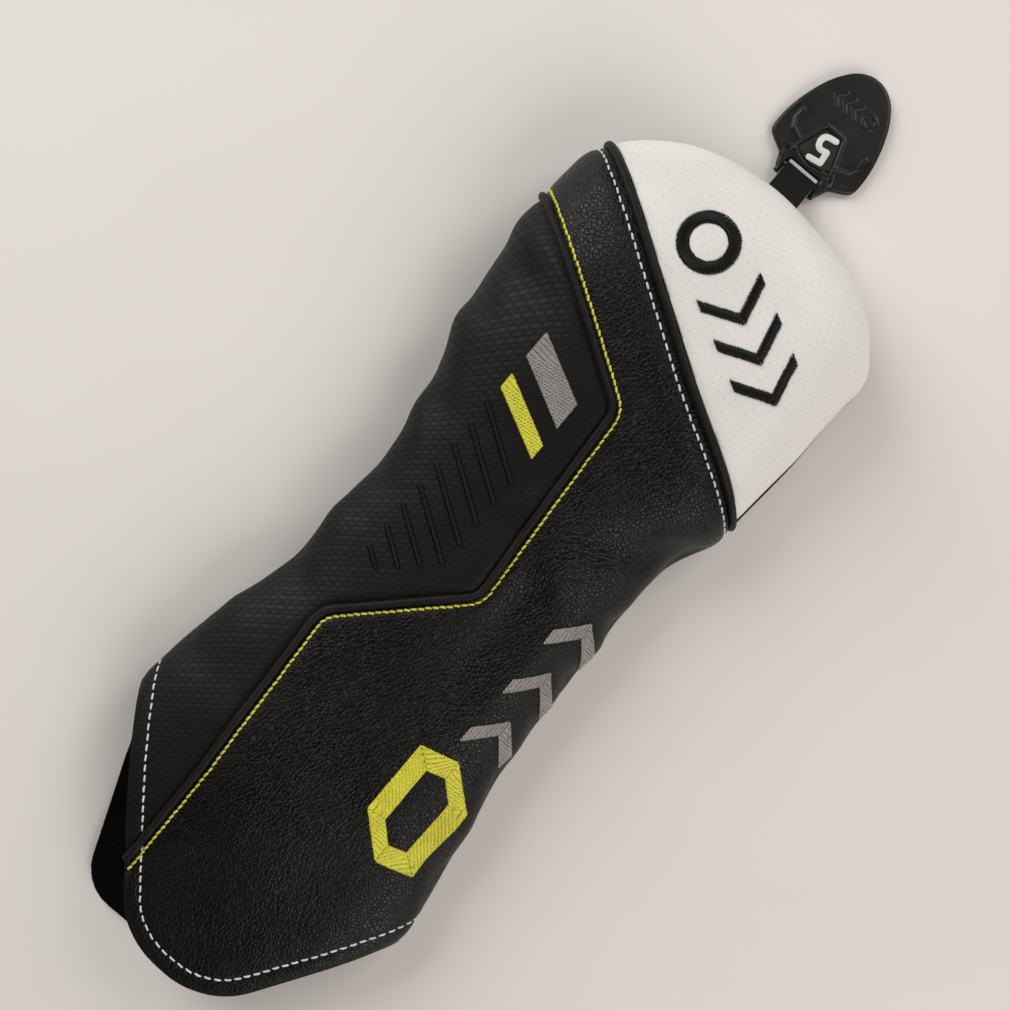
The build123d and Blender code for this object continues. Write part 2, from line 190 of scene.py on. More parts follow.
def even_places(step):
    """Places along the cover that are evenly spaced on its middle line."""
    fine = np.linspace(0, len(STATIONS) - 1, 3000)
    values = station_values(fine)
    middle = (values[:, 0:2] + values[:, 2:4]) / 2
    along = np.concatenate([[0], np.cumsum(np.linalg.norm(np.diff(middle, axis=0), axis=1))])
    spread = np.concatenate([[0], np.cumsum(np.abs(np.diff(values[:, 4])))])
    measure = along + 0.7 * spread
    count = int(measure[-1] / step)
    return np.interp(np.linspace(0, measure[-1], count + 1), measure, fine)


class Surface:
    """One half of the cover as a grid: positions, normals and cloth coordinates."""

    def __init__(self, upper, step):
        places = even_places(step)
        values = station_values(places)
        left, right, top = values[:, 0:2], values[:, 2:4], values[:, 4]
        chord = right - left
        half = np.linalg.norm(chord, axis=1) / 2
        across = chord / (2 * half)[:, None]
        middle = (left + right) / 2
        rise = top - SEAM_Z if upper else np.full_like(top, SEAM_Z + BELLY)
        share = np.arange(1, CAP_ROWS + 1) / CAP_ROWS
        shrink = 1 - share * 0.97
        onward = np.array([-across[-1, 1], across[-1, 0]])
        cap_middle = middle[-1] + onward * (CAP_LENGTH * (1 - (1 - share) ** 2))[:, None]
        middle = np.vstack([middle, cap_middle])
        half = np.concatenate([half, half[-1] * shrink])
        rise = np.concatenate([rise, rise[-1] * shrink])
        across = np.vstack([across, np.repeat(across[-1:], CAP_ROWS, axis=0)])

        power = SIDE_POWER if upper else BACK_POWER
        angle = np.linspace(math.pi, 0, 241)
        side = np.sign(np.cos(angle)) * np.abs(np.cos(angle)) ** power
        lift = np.abs(np.sin(angle)) ** power * (1 if upper else -1)
        wide = half[:, None] * side
        tall = rise[:, None] * lift
        steps = np.hypot(np.diff(wide, axis=1), np.diff(tall, axis=1))
        arc = np.hstack([np.zeros((len(half), 1)), np.cumsum(steps, axis=1)])
        columns = int(arc.max() / step)
        even = np.linspace(0, 1, columns + 1)
        grid = np.empty((len(half), columns + 1, 3))
        flat_x = np.empty((len(half), columns + 1))
        for row in range(len(half)):
            spots = even * arc[row, -1]
            w = np.interp(spots, arc[row], wide[row])
            t = np.interp(spots, arc[row], tall[row])
            grid[row, :, :2] = middle[row] + w[:, None] * across[row]
            grid[row, :, 2] = SEAM_Z + t
            flat_x[row] = spots - arc[row, -1] / 2
        along = np.concatenate([[0], np.cumsum(np.linalg.norm(np.diff(middle, axis=0), axis=1))])
        self.shape = grid.shape[:2]
        self.base = grid.reshape(-1, 3)
        flat_y = np.repeat(along[:, None], columns + 1, axis=1)
        self.cloth = np.stack([flat_x, flat_y], axis=2).reshape(-1, 2)
        self.edge = (np.minimum(even, 1 - even) * arc[:, -1:]).reshape(-1)
        self.upper = upper
        self.normals = self.find_normals(self.base)

    def find_normals(self, points):
        grid = points.reshape(*self.shape, 3)
        down = np.gradient(grid, axis=0)
        over = np.gradient(grid, axis=1)
        normal = np.cross(over, down)
        length = np.linalg.norm(normal, axis=2, keepdims=True)
        normal /= np.maximum(length, 1e-9)
        if not self.upper:
            normal = -normal
        weak = (length[..., 0] < 1e-6).reshape(-1)
        flat = normal.reshape(-1, 3)
        flat[weak] = (0, 0, 1 if self.upper else -1)
        return flat

    def faces(self):
        quads = grid_quads(*self.shape)
        return quads if self.upper else quads[:, ::-1]


front = Surface(True, CELL)
back = Surface(False, CELL * 1.3)


# ---------------------------------------------------------------- folds and puffiness
# Soft folds: start, end, width, height (minus is a dent).
FOLDS = [
    (-62, 52, -36, 30, 6.0, -1.5), (-58, 38, -30, 36, 7.0, 1.0), (-53, 22, -34, 6, 5.0, -1.2),
    (-50, 10, -30, -8, 5.0, 0.9), (-50, -14, -30, -22, 5.5, -1.1), (-50, -36, -28, -42, 6.0, 0.9),
    (-51, -52, -30, -66, 5.5, -1.3), (-57, -76, -34, -86, 7.0, 0.9), (-60, -98, -36, -100, 7.0, -1.0),
    (54, 30, 34, 14, 5.5, -1.4), (55, 18, 30, 6, 5.0, 0.9), (52, -4, 34, -16, 4.5, -1.2),
    (52, -17, 30, -12, 4.5, 1.0), (52, -30, 34, -30, 5.0, -1.2), (54, -50, 36, -42, 5.0, -1.0),
    (56, -72, 38, -60, 5.5, -1.2), (58, -88, 34, -84, 6.0, 0.8), (62, -107, 38, -96, 6.5, -1.3),
    (20, -30, 21, -66, 6.5, -1.3), (2, -28, -1, -66, 8.0, 0.9), (34, -34, 30, -62, 6.0, 0.9),
    (2, -76, 26, -120, 12.0, -0.8), (-12, -120, 16, -160, 14.0, 0.9), (30, -120, 22, -160, 12.0, -0.7),
    (54, 20, 14, 8, 7.0, -1.5), (46, 36, 14, 30, 9.0, 1.1), (12, 2, 36, -10, 8.0, 0.8),
    (-2, 8, -14, 34, 8.0, -0.5), (-52, 60, -24, 52, 6.0, -1.0), (-55, 72, -28, 66, 7.0, 0.9),
]
FOLD_DEPTH = 1.3        # how strongly all folds are drawn
EDGE_FADE = 3.5         # folds fade out this near the side seams, which hold the two halves together


def fold_height(places):
    """The height of all soft folds at plan places."""
    total = np.zeros(len(places))
    for x1, y1, x2, y2, width, height in FOLDS:
        start = np.array([x1, y1], float)
        run = np.array([x2 - x1, y2 - y1], float)
        length = np.linalg.norm(run)
        share = ((places[:, :2] - start) @ run) / length ** 2
        gap = np.abs((places[:, 0] - x1) * run[1] - (places[:, 1] - y1) * run[0]) / length
        fade = np.clip(1.15 - np.maximum(share, 0), 0, 1) * np.clip(1 + (share + 0.35) * 3, 0, 1)
        total += height * np.exp(-(gap / width) ** 2) * fade * fade * (3 - 2 * fade)
    return total * FOLD_DEPTH


# Puffiness as layers of noise: size across, size along, height, seed.
BODY_PUFF = ((31, 38, 0.55, 3), (13, 15, 0.22, 4), (5.5, 6, 0.07, 7))
CROWN_PUFF = ((24, 24, 0.35, 5), (8, 8, 0.12, 6))
BACK_PUFF = ((30, 34, 0.4, 13), (9, 11, 0.12, 14))
BACK_PUFF_LIMIT = 0.6
RIPPLE_SIZE, RIPPLE_HEIGHT, RIPPLE_REACH = (40, 5.5), 0.25, 14

# Valleys along the seams: width, depth.
CROWN_VALLEY, CHEVRON_VALLEY, BACK_VALLEY = (2.4, 0.9), (2.2, 0.8), (1.6, 0.9)
WHITE_STITCH_VALLEY, YELLOW_STITCH_VALLEY = (0.9, 0.35), (0.8, 0.35)
FRONT_HEM_ROLL, BACK_HEM_ROLL, SIDE_VALLEY = (1.3, 0.55), (1.3, 0.5), (1.6, 0.8)
SWELL_PLACE, SWELL_WIDTH, SWELL_HEIGHT = 4.5, 4, 0.5    # the puff below the white stitches
SHOULDER, SHOULDER_BLEND = 4, 2         # below the crown's seam, where the body's folds begin


def puffiness(surface, layers):
    x, y = surface.cloth.T
    return sum(height * value_noise(x / across, y / along, seed) for across, along, height, seed in layers)


def ripples(surface, shift, seed):
    """Small gathers beside the side seams."""
    x, y = surface.cloth.T
    gathers = value_noise(x / RIPPLE_SIZE[0] + shift, y / RIPPLE_SIZE[1], seed)
    return RIPPLE_HEIGHT * gathers * np.exp(-surface.edge / RIPPLE_REACH)


def dip(distance, width, depth):
    """A valley along a seam."""
    return -depth * np.exp(-(distance / width) ** 2)


def front_displacement(surface):
    crown, chevron, lip = (signed_distance(surface.base, line)
                           for line in (crown_line, chevron_line, front_lip_line))
    body = 1 / (1 + np.exp((crown + SHOULDER) / SHOULDER_BLEND))
    shut = 1 - np.exp(-(surface.edge / EDGE_FADE) ** 2)
    folds = fold_height(surface.base) + puffiness(surface, BODY_PUFF) + ripples(surface, 9, 8)
    total = body * shut * folds + (1 - body) * puffiness(surface, CROWN_PUFF)
    total += dip(crown + CROWN_PIPING, *CROWN_VALLEY)
    total += dip(crown + CROWN_STITCH, *WHITE_STITCH_VALLEY)
    total -= dip(crown + CROWN_STITCH + SWELL_PLACE, SWELL_WIDTH, SWELL_HEIGHT)
    total += dip(chevron + CHEVRON_PIPING, *CHEVRON_VALLEY) * body
    total += dip(chevron, *YELLOW_STITCH_VALLEY) * body
    total += dip(lip - HEM_STITCH, *WHITE_STITCH_VALLEY)
    total += dip(lip, *FRONT_HEM_ROLL)
    return total + dip(surface.edge, *SIDE_VALLEY)


def back_displacement(surface):
    total = puffiness(surface, BACK_PUFF) + ripples(surface, 0, 18)
    total += dip(signed_distance(surface.base, crown_line), *BACK_VALLEY)
    total += dip(signed_distance(surface.base, rear_lip_line), *BACK_HEM_ROLL)
    total += dip(surface.edge, *SIDE_VALLEY)
    return np.minimum(total, BACK_PUFF_LIMIT)


front.lift = front_displacement(front)
back.lift = back_displacement(back)
for half_cover in (front, back):
    half_cover.outer = half_cover.base + half_cover.normals * half_cover.lift[:, None]
back.outer[:, 2] = np.maximum(back.outer[:, 2], FLOOR_CLEAR)
for half_cover in (front, back):
    half_cover.outer_normals = half_cover.find_normals(half_cover.outer)

plan_tree = BVHTree.FromPolygons(
    [(p[0], p[1], 0.0) for p in front.base], [tuple(int(i) for i in face) for face in front.faces()])
front_faces = front.faces()


def lift_points(places):
    """Plan places as points on the front's outer surface, with normals."""
    points, normals = [], []
    for x, y in places:
        spot, _, index, _ = plan_tree.find_nearest((x, y, 0.0))
        corners = front_faces[index]
        flat = front.base[corners][:, :2]
        weight = 1 / (np.linalg.norm(flat - np.array(spot[:2]), axis=1) ** 2 + 1e-6)
        weight /= weight.sum()
        points.append(weight @ front.outer[corners])
        normals.append(weight @ front.outer_normals[corners])
    points, normals = np.array(points), np.array(normals)
    normals /= np.linalg.norm(normals, axis=1)[:, None]
    return points, normals


def seam_path(line, distance, step, keep=None):
    """A line on the front at a plan distance to the left of a seam, from edge to edge."""
    places = resample(line, 0.3)
    places = places + line_normals(places) * distance
    inside = plan_inside(places)
    if keep is not None:
        inside &= keep(places)
    places = places[inside]
    points, normals = lift_points(places)
    both = resample(np.hstack([points, normals]), step)
    normals = both[:, 3:]
    return both[:, :3], normals / np.linalg.norm(normals, axis=1)[:, None]


def plan_inside(places, reach=1.2):
    """Whether plan places are over the cover, or within a little of its outline."""
    found = [plan_tree.find_nearest((x, y, 0.0))[3] < reach for x, y in places]
    return np.array(found)


# ---------------------------------------------------------------- mesh tools
def clip(points, quads, others, field):
    """Cuts away the part of a mesh where the field is negative. Points carry all their values."""
    points = list(points)
    values = list(field)
    inside = field >= 0
    kept_quads = quads[inside[quads].all(1)] if len(quads) else quads
    mixed = [tuple(q) for q in quads[inside[quads].any(1) & ~inside[quads].all(1)]] if len(quads) else []
    kept_others = []
    for face in others:
        flags = [inside[i] for i in face]
        if all(flags):
            kept_others.append(face)
        elif any(flags):
            mixed.append(face)
    cuts = {}

    def cut(a, b):
        key = (min(a, b), max(a, b))
        if key not in cuts:
            share = values[a] / (values[a] - values[b])
            points.append(points[a] + (points[b] - points[a]) * share)
            cuts[key] = len(points) - 1
        return cuts[key]

    for face in mixed:
        ring = []
        for here, following in zip(face, face[1:] + face[:1]):
            if inside[here]:
                ring.append(here)
            if inside[here] != inside[following]:
                ring.append(cut(here, following))
        if len(ring) >= 3:
            kept_others.append(tuple(ring))
    return np.array(points), kept_quads, kept_others


def compact(points, quads, others):
    """Drops unused points, and returns the faces as one list."""
    used = set(int(i) for i in quads.reshape(-1)) | {i for face in others for i in face}
    order = sorted(used)
    place = {old: new for new, old in enumerate(order)}
    faces = [tuple(place[int(i)] for i in face) for face in quads]
    faces += [tuple(place[i] for i in face) for face in others]
    return points[order], faces


def make_object(name, points, faces, material, flat_faces=(), cloth=None):
    """A mesh object from millimetre points."""
    mesh = bpy.data.meshes.new(name)
    mesh.from_pydata([tuple(p) for p in np.asarray(points)[:, :3] * MM], [], faces)
    smooth = np.ones(len(mesh.polygons), bool)
    smooth[list(flat_faces)] = False
    mesh.polygons.foreach_set("use_smooth", smooth)
    if cloth is not None:
        layer = mesh.attributes.new("cloth", "FLOAT_VECTOR", "POINT")
        spread = np.zeros((len(points), 3))
        spread[:, :2] = cloth * MM
        layer.data.foreach_set("vector", spread.reshape(-1))
    mesh.materials.append(material)
    mesh.validate()
    mesh.update()
    piece = bpy.data.objects.new(name, mesh)
    bpy.context.scene.collection.objects.link(piece)
    return piece


def closed_shell(name, outer, inner, faces, material, cloth=None):
    """A closed solid between an outer and an inner surface that share their faces."""
    count = len(outer)
    edges = {edge: True for face in faces for edge in zip(face, face[1:] + face[:1])}
    walls = [(b, a, a + count, b + count) for a, b in edges if (b, a) not in edges]
    all_faces = list(faces) + [tuple(i + count for i in reversed(face)) for face in faces] + walls
    flat = range(2 * len(faces), len(all_faces))
    both = None if cloth is None else np.vstack([cloth, cloth])
    return make_object(name, np.vstack([outer, inner]), all_faces, material, flat, both)


def cover_piece(name, surface, fields, outset, thickness, material):
    """A layer of the cover, where all the fields are positive, between two depths.

    outset and thickness are arrays over the surface, or numbers, in millimetres."""
    outset = np.broadcast_to(outset, surface.lift.shape)
    thickness = np.broadcast_to(thickness, surface.lift.shape)
    top = surface.outer + surface.outer_normals * outset[:, None]
    low = surface.outer + surface.outer_normals * (outset - thickness)[:, None]
    if not surface.upper:
        top[:, 2] = np.maximum(top[:, 2], FLOOR_CLEAR - outset)
        low[:, 2] = np.maximum(low[:, 2], FLOOR_CLEAR - outset + thickness)
    points = np.hstack([top, low, surface.cloth, np.stack(fields, axis=1)])
    quads, others = surface.faces(), []
    for column in range(8, points.shape[1]):
        points, quads, others = clip(points, quads, others, points[:, column])
    points, faces = compact(points, quads, others)
    return closed_shell(name, points[:, 0:3], points[:, 3:6], faces, material, points[:, 6:8])


THREAD_END = 0.45       # size of a tube's ends


class Threads:
    """Many small closed tubes in one mesh."""

    def __init__(self, sides=6):
        self.sides = sides
        self.points = []
        self.faces = []

    def add(self, path, up, half_width, half_height):
        """One tube along a path, with its up directions. Its two ends taper."""
        path, up = np.asarray(path), np.asarray(up)
        tangent = np.gradient(path, axis=0)
        tangent /= np.maximum(np.linalg.norm(tangent, axis=1)[:, None], 1e-9)
        side = np.cross(tangent, up)
        side /= np.maximum(np.linalg.norm(side, axis=1)[:, None], 1e-9)
        rise = np.cross(side, tangent)
        count = len(path)
        size = np.ones(count)
        size[0] = size[-1] = THREAD_END
        half_width = half_width * size
        half_height = half_height * size
        first = len(self.points)
        for k in range(count):
            for step in range(self.sides):
                angle = 2 * math.pi * (step + 0.5) / self.sides
                over = side[k] * math.cos(angle) * half_width[k]
                self.points.append(path[k] + over + rise[k] * math.sin(angle) * half_height[k])
        for k in range(count - 1):
            for step in range(self.sides):
                a = first + k * self.sides + step
                b = first + k * self.sides + (step + 1) % self.sides
                self.faces.append((a, b, b + self.sides, a + self.sides))
        self.faces.append(tuple(first + step for step in reversed(range(self.sides))))
        last = first + (count - 1) * self.sides
        self.faces.append(tuple(last + step for step in range(self.sides)))

    def finish(self, name, material):
        return make_object(name, np.array(self.points), [tuple(reversed(f)) for f in self.faces], material)


# ---------------------------------------------------------------- materials
class Paint:
    """A material whose shader is fed by procedural nodes. Its sizes are in millimetres."""

    def __init__(self, name, colour, roughness, **sockets):
        self.material = bpy.data.materials.new(name)
        self.material.use_nodes = True
        self.tree = self.material.node_tree
        self.shader = self.tree.nodes["Principled BSDF"]
        self.shader.inputs["Base Color"].default_value = (*colour, 1)
        self.shader.inputs["Roughness"].default_value = roughness
        for socket, value in sockets.items():
            self.shader.inputs[socket.replace("_", " ")].default_value = value
        self.spot = self.node("ShaderNodeTexCoord").outputs["Object"]

    def node(self, kind, inputs=None, **settings):
        made = self.tree.nodes.new(kind)
        for key, value in settings.items():
            setattr(made, key, value)
        for key, value in (inputs or {}).items():
            if isinstance(value, bpy.types.NodeSocket):
                self.tree.links.new(value, made.inputs[key])
            elif value is not None:
                made.inputs[key].default_value = value
        return made

    def feed(self, socket, source):
        self.tree.links.new(source, self.shader.inputs[socket])

    def turned_cloth(self, degrees):
        """The cloth's own flat coordinates, turned."""
        flat = self.node("ShaderNodeAttribute", attribute_name="cloth").outputs["Vector"]
        turn = (0, 0, math.radians(degrees))
        return self.node("ShaderNodeMapping", {"Vector": flat, "Rotation": turn}).outputs[0]

    def noise(self, size, detail, roughness=0.5, output="Fac"):
        inputs = {"Vector": self.spot, "Scale": 1 / (size * MM), "Detail": detail, "Roughness": roughness}
        return self.node("ShaderNodeTexNoise", inputs).outputs[output]

    def cells(self, vector, size, feature, **inputs):
        inputs = {"Vector": vector, "Scale": 1 / (size * MM), **inputs}
        return self.node("ShaderNodeTexVoronoi", inputs, feature=feature).outputs["Distance"]

    def remap(self, value, low, high, to_low, to_high):
        inputs = {0: value, 1: low, 2: high, 3: to_low, 4: to_high}
        return self.node("ShaderNodeMapRange", inputs).outputs["Result"]

    def mix(self, factor, first, second):
        first, second = ((*c, 1) if isinstance(c, tuple) else c for c in (first, second))
        return self.node("ShaderNodeMix", {0: factor, 6: first, 7: second}, data_type="RGBA").outputs[2]

    def patches(self, noise, first, second, share=1):
        """The first colour, with soft patches of the second where the noise is high."""
        return self.mix(self.remap(noise, 0.35, 0.65, 0, share), first, second)

    def maths(self, operation, first, second=None):
        return self.node("ShaderNodeMath", {0: first, 1: second}, operation=operation).outputs[0]

    def bump(self, *layers):
        """Bumps from (height, strength, distance), the broadest first."""
        normal = None
        for height, strength, distance in layers:
            inputs = {"Height": height, "Strength": strength, "Distance": distance * MM, "Normal": normal}
            normal = self.node("ShaderNodeBump", inputs).outputs["Normal"]
        self.feed("Normal", normal)


def dimmed(colour, share):
    return tuple(c * share for c in colour)


PEBBLE_SIZE, PEBBLE_DEPTH, PEBBLE_WARP = 1.3, 0.12, 0.9


def leather(name, colour, light):
    """Pebbled leather: small uneven cells, with painted shade darkening the creases between them."""
    paint = Paint(name, colour, 0.42, Specular_IOR_Level=0.24)
    warp = {0: paint.noise(2.5, 2, output="Color"), 1: (PEBBLE_WARP * MM,) * 3, 2: paint.spot}
    shifted = paint.node("ShaderNodeVectorMath", warp, operation="MULTIPLY_ADD").outputs[0]
    pebble = paint.remap(paint.cells(shifted, PEBBLE_SIZE, "DISTANCE_TO_EDGE"), 0.0, 0.22, 0.0, 1.0)
    crease, grain, broad = paint.noise(6.0, 5, 0.62), paint.noise(0.45, 3, 0.6), paint.noise(22, 3)
    shade = paint.patches(broad, colour, light)
    # painted shade: the base colour darkens towards a dimmed copy in the creases between the pebbles
    paint.feed("Base Color", paint.mix(paint.remap(pebble, 0.0, 0.5, 0.6, 0.0), shade, dimmed(colour, 0.35)))
    paint.feed("Roughness", paint.maths("ADD", paint.remap(pebble, 0, 1, 0.50, 0.33),
                                        paint.remap(broad, 0.3, 0.7, -0.04, 0.05)))
    paint.bump((crease, 0.6, PEBBLE_DEPTH * 4.5), (pebble, 0.9, PEBBLE_DEPTH), (grain, 0.4, PEBBLE_DEPTH / 4))
    return paint.material


# the hole colour is painted shade for the insides of the holes
WHITE, WHITE_SHADE, HOLE_SHADE = (0.80, 0.79, 0.765), (0.755, 0.74, 0.71), (0.36, 0.34, 0.31)
HOLE_PITCH, HOLE_ROWS_TURN = 2.9, 75.0


def perforated_leather(name):
    """White leather with rows of tiny holes, drawn as bumps with painted shade in their middles."""
    paint = Paint(name, WHITE, 0.48, Specular_IOR_Level=0.4)
    holes = paint.cells(paint.turned_cloth(HOLE_ROWS_TURN), HOLE_PITCH, "F1", Randomness=0.0)
    depth = paint.remap(holes, 0.045, 0.10, 0.0, 1.0)
    around = paint.remap(holes, 0.05, 0.30, 0.0, 1.0)
    base = paint.patches(paint.noise(30, 3), WHITE, WHITE_SHADE)
    # painted shade in the holes: the base colour darkens towards each hole's middle
    paint.feed("Base Color", paint.mix(paint.remap(depth, 0, 1, 0.32, 0), base, HOLE_SHADE))
    paint.bump((paint.noise(4.0, 4, 0.6), 0.35, 0.35), (around, 0.4, 0.12), (depth, 0.5, 0.15),
               (paint.noise(0.6, 4, 0.6), 0.35, 0.06))
    return paint.material


TWILL_ANGLE = 40.0      # direction of the twill's bands, from +X
TWILL_PITCH, TWILL_RUN, TWILL_STRANDS = 1.55, 3.4, 5
# the gap colour is painted shade between the tows
TOW_GAP_SHADE, TOW_TOP, TWILL_PATCH = (0.0035, 0.0029, 0.0027), (0.0085, 0.0072, 0.0066), (0.004, 0.0033, 0.003)


def twill(name):
    """Woven tows in slanting bands, each band half a tow on from the last, with painted shade between the tows
    and on every other band.
    """
    paint = Paint(name, TOW_TOP, 0.5, Specular_IOR_Level=0.20)
    axes = paint.node("ShaderNodeSeparateXYZ", {"Vector": paint.turned_cloth(-TWILL_ANGLE)}).outputs
    along = paint.maths("MULTIPLY", axes[0], 1 / (TWILL_RUN * MM))
    over = paint.maths("MULTIPLY", axes[1], 1 / (TWILL_PITCH * MM))
    half_step = paint.maths("MULTIPLY", paint.maths("FLOOR", over), 0.5)
    lobe = paint.maths("PINGPONG", paint.maths("ADD", along, half_step), 0.5)
    band = paint.maths("PINGPONG", over, 0.5)
    tow = paint.maths("MULTIPLY", paint.remap(lobe, 0.0, 0.30, 0, 1), paint.remap(band, 0.02, 0.25, 0, 1))
    every_other = paint.maths("FRACT", half_step)
    strands = paint.maths("SINE", paint.maths("MULTIPLY", over, 2 * math.pi * TWILL_STRANDS))
    # painted shade: the colour darkens in the gaps between the tows, and every other band is darker as a
    # painted difference in sheen between the bands
    shade = paint.mix(paint.remap(every_other, 0, 0.5, 0, 0.35), paint.mix(tow, TOW_GAP_SHADE, TOW_TOP), TOW_GAP_SHADE)
    paint.feed("Base Color", paint.patches(paint.noise(18, 3), shade, TWILL_PATCH, 0.4))
    paint.feed("Roughness", paint.maths("ADD", paint.remap(tow, 0, 1, 0.6, 0.47),
                                        paint.remap(every_other, 0, 0.5, 0.0, 0.06)))
    paint.bump((tow, 0.45, 0.14), (strands, 0.25, 0.03), (paint.noise(0.35, 3, 0.6), 0.4, 0.05))
    return paint.material


def textile(name, colour, light, size, depth, roughness, specular=0.5):
    """Fine textile: thread, piping, fleece, webbing."""
    paint = Paint(name, colour, roughness, Specular_IOR_Level=specular)
    grain = paint.noise(size, 4, 0.65)
    shade = paint.patches(grain, colour, light)
    paint.feed("Base Color", paint.patches(paint.noise(size * 12, 3), shade, dimmed(colour, 0.7), 0.35))
    paint.bump((grain, 0.6, depth))
    return paint.material


def rubber(name, colour, light):
    paint = Paint(name, colour, 0.42, Specular_IOR_Level=0.40)
    broad = paint.noise(7, 4, 0.6)
    paint.feed("Base Color", paint.patches(broad, colour, light))
    paint.feed("Roughness", paint.remap(broad, 0.3, 0.7, 0.36, 0.48))
    paint.bump((broad, 0.15, 0.3), (paint.noise(0.25, 3, 0.6), 0.4, 0.03))
    return paint.material


BLACK_YARN = (0.003, 0.0026, 0.0026)
white_leather = perforated_leather("white_perforated_leather")
black_leather = leather("black_pebbled_leather", (0.0026, 0.0019, 0.0017), (0.0046, 0.0036, 0.0033))
carbon_cloth = twill("twill_carbon_cloth")
piping_cloth = textile("black_piping_cloth", (0.004, 0.0034, 0.0033), (0.010, 0.009, 0.0088), 0.22, 0.08,
                       0.55, 0.2)
black_fleece = textile("black_fleece", (0.0022, 0.0016, 0.0016), (0.006, 0.005, 0.005), 0.5, 0.35, 0.95, 0.03)
yellow_thread = textile("yellow_thread", (0.64, 0.61, 0.036), (0.86, 0.82, 0.08), 0.5, 0.03, 0.42)
silver_thread = textile("silver_thread", (0.27, 0.255, 0.24), (0.40, 0.38, 0.36), 0.5, 0.03, 0.36)
white_thread = textile("white_thread", (0.66, 0.66, 0.70), (0.82, 0.82, 0.85), 0.4, 0.03, 0.5)
black_thread = textile("black_thread", BLACK_YARN, (0.008, 0.007, 0.007), 0.5, 0.03, 0.4, 0.2)
webbing = textile("black_webbing", BLACK_YARN, (0.009, 0.008, 0.008), 0.3, 0.06, 0.6, 0.15)
pale_thread = textile("pale_thread", (0.42, 0.42, 0.42), (0.62, 0.62, 0.62), 0.3, 0.03, 0.5)
wadding = textile("polyester_wadding", (0.55, 0.55, 0.53), (0.7, 0.7, 0.68), 0.8, 0.2, 0.9)
elastic_cloth = textile("woven_elastic", (0.008, 0.008, 0.008), (0.02, 0.02, 0.02), 0.4, 0.08, 0.7)
tag_rubber = rubber("tag_rubber", (0.004, 0.0031, 0.0027), (0.0075, 0.006, 0.0052))
window_rubber = rubber("window_rubber", (0.010, 0.009, 0.008), (0.016, 0.0145, 0.013))
tag_print = rubber("tag_print", (0.62, 0.62, 0.60), (0.74, 0.74, 0.72))


def keep(piece, slot, *nodes, body="cover"):
    """Attaches a finished piece to its body and hides the CAD nodes it replaces. The slot argument is not used.
    """
    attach(piece, body)
    if nodes:
        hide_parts(*nodes)


# ---------------------------------------------------------------- panels, padding and lining
LAYER_GAP, SEAM_GAP = 0.15, 0.1         # between layers, and between panels at a seam
front_crown = signed_distance(front.base, crown_line)
front_skirt = -front_crown - LAYER_GAP
front_hem = signed_distance(front.base, front_lip_line)
front_chevron = signed_distance(front.base, chevron_line) + CHEVRON_PIPING
back_crown = signed_distance(back.base, crown_line)
back_hem = signed_distance(back.base, rear_lip_line)

for name, surface, fields, material, slot, node_name in (
        ("crown_front_cloth", front, [front_crown], white_leather, "white_leather", "crown_front_panel"),
        ("front_leather_cloth", front, [front_skirt, front_chevron, front_hem], black_leather,
         "black_leather", "front_leather_panel"),
        ("carbon_cloth_panel", front, [front_skirt, -front_chevron - SEAM_GAP, front_hem], carbon_cloth,
         "carbon_cloth", "carbon_panel"),
        ("crown_back_cloth", back, [back_crown - SEAM_GAP], black_leather, "black_leather", "crown_back_panel"),
        ("back_body_cloth", back, [-back_crown - SEAM_GAP, back_hem], black_leather, "black_leather",
         "back_body_panel")):
    keep(cover_piece(name, surface, fields, 0.0, SKIN, material), slot, node_name)

PADDING, PADDING_INSET, PADDING_HEM, PADDING_SIDE = 1.45, 1.5, 8, 1.0
PADDING_DEPTH = -SKIN - LAYER_GAP
LINING, LINING_HEM, LINING_SIDE = 1.45, 0.35, 0.8
LINING_DEPTH = PADDING_DEPTH - PADDING - LAYER_GAP


def fuzz(surface, size, seed):
    return value_noise(surface.cloth[:, 0] / size, surface.cloth[:, 1] / size, seed)


for name, surface, fields in (
        ("crown_front", front, [front_crown - PADDING_INSET]),
        ("body_front", front, [front_skirt - PADDING_INSET, front_hem - PADDING_HEM]),
        ("crown_back", back, [back_crown - PADDING_INSET]),
        ("body_back", back, [-back_crown - PADDING_INSET, back_hem - PADDING_HEM])):
    fields.append(surface.edge - PADDING_SIDE)
    thickness = PADDING - LAYER_GAP + 0.12 * fuzz(surface, 4, 31)
    keep(cover_piece(f"{name}_wadding", surface, fields, PADDING_DEPTH, thickness, wadding), "foam",
         f"{name}_padding")

for name, surface, hem in (("front", front, front_hem), ("back", back, back_hem)):
    # The lining comes up to the skin at the hem.
    close = 1 / (1 + np.exp((hem - 6.0) / 1.2))
    depth = LINING_DEPTH * (1 - close) - (SKIN + 0.1) * close + np.minimum(0.18 * fuzz(surface, 1.3, 41), 0)
    keep(cover_piece(f"{name}_fleece", surface, [hem - LINING_HEM, surface.edge - LINING_SIDE], depth,
                     LINING + 0.35 * fuzz(surface, 1.1, 43), black_fleece), "black_fleece", f"{name}_lining")


# ---------------------------------------------------------------- piping
PIPING_SINK, CROWN_CORD, CHEVRON_CORD, EDGE_CORD = 0.55, 1.35, 1.3, 0.85


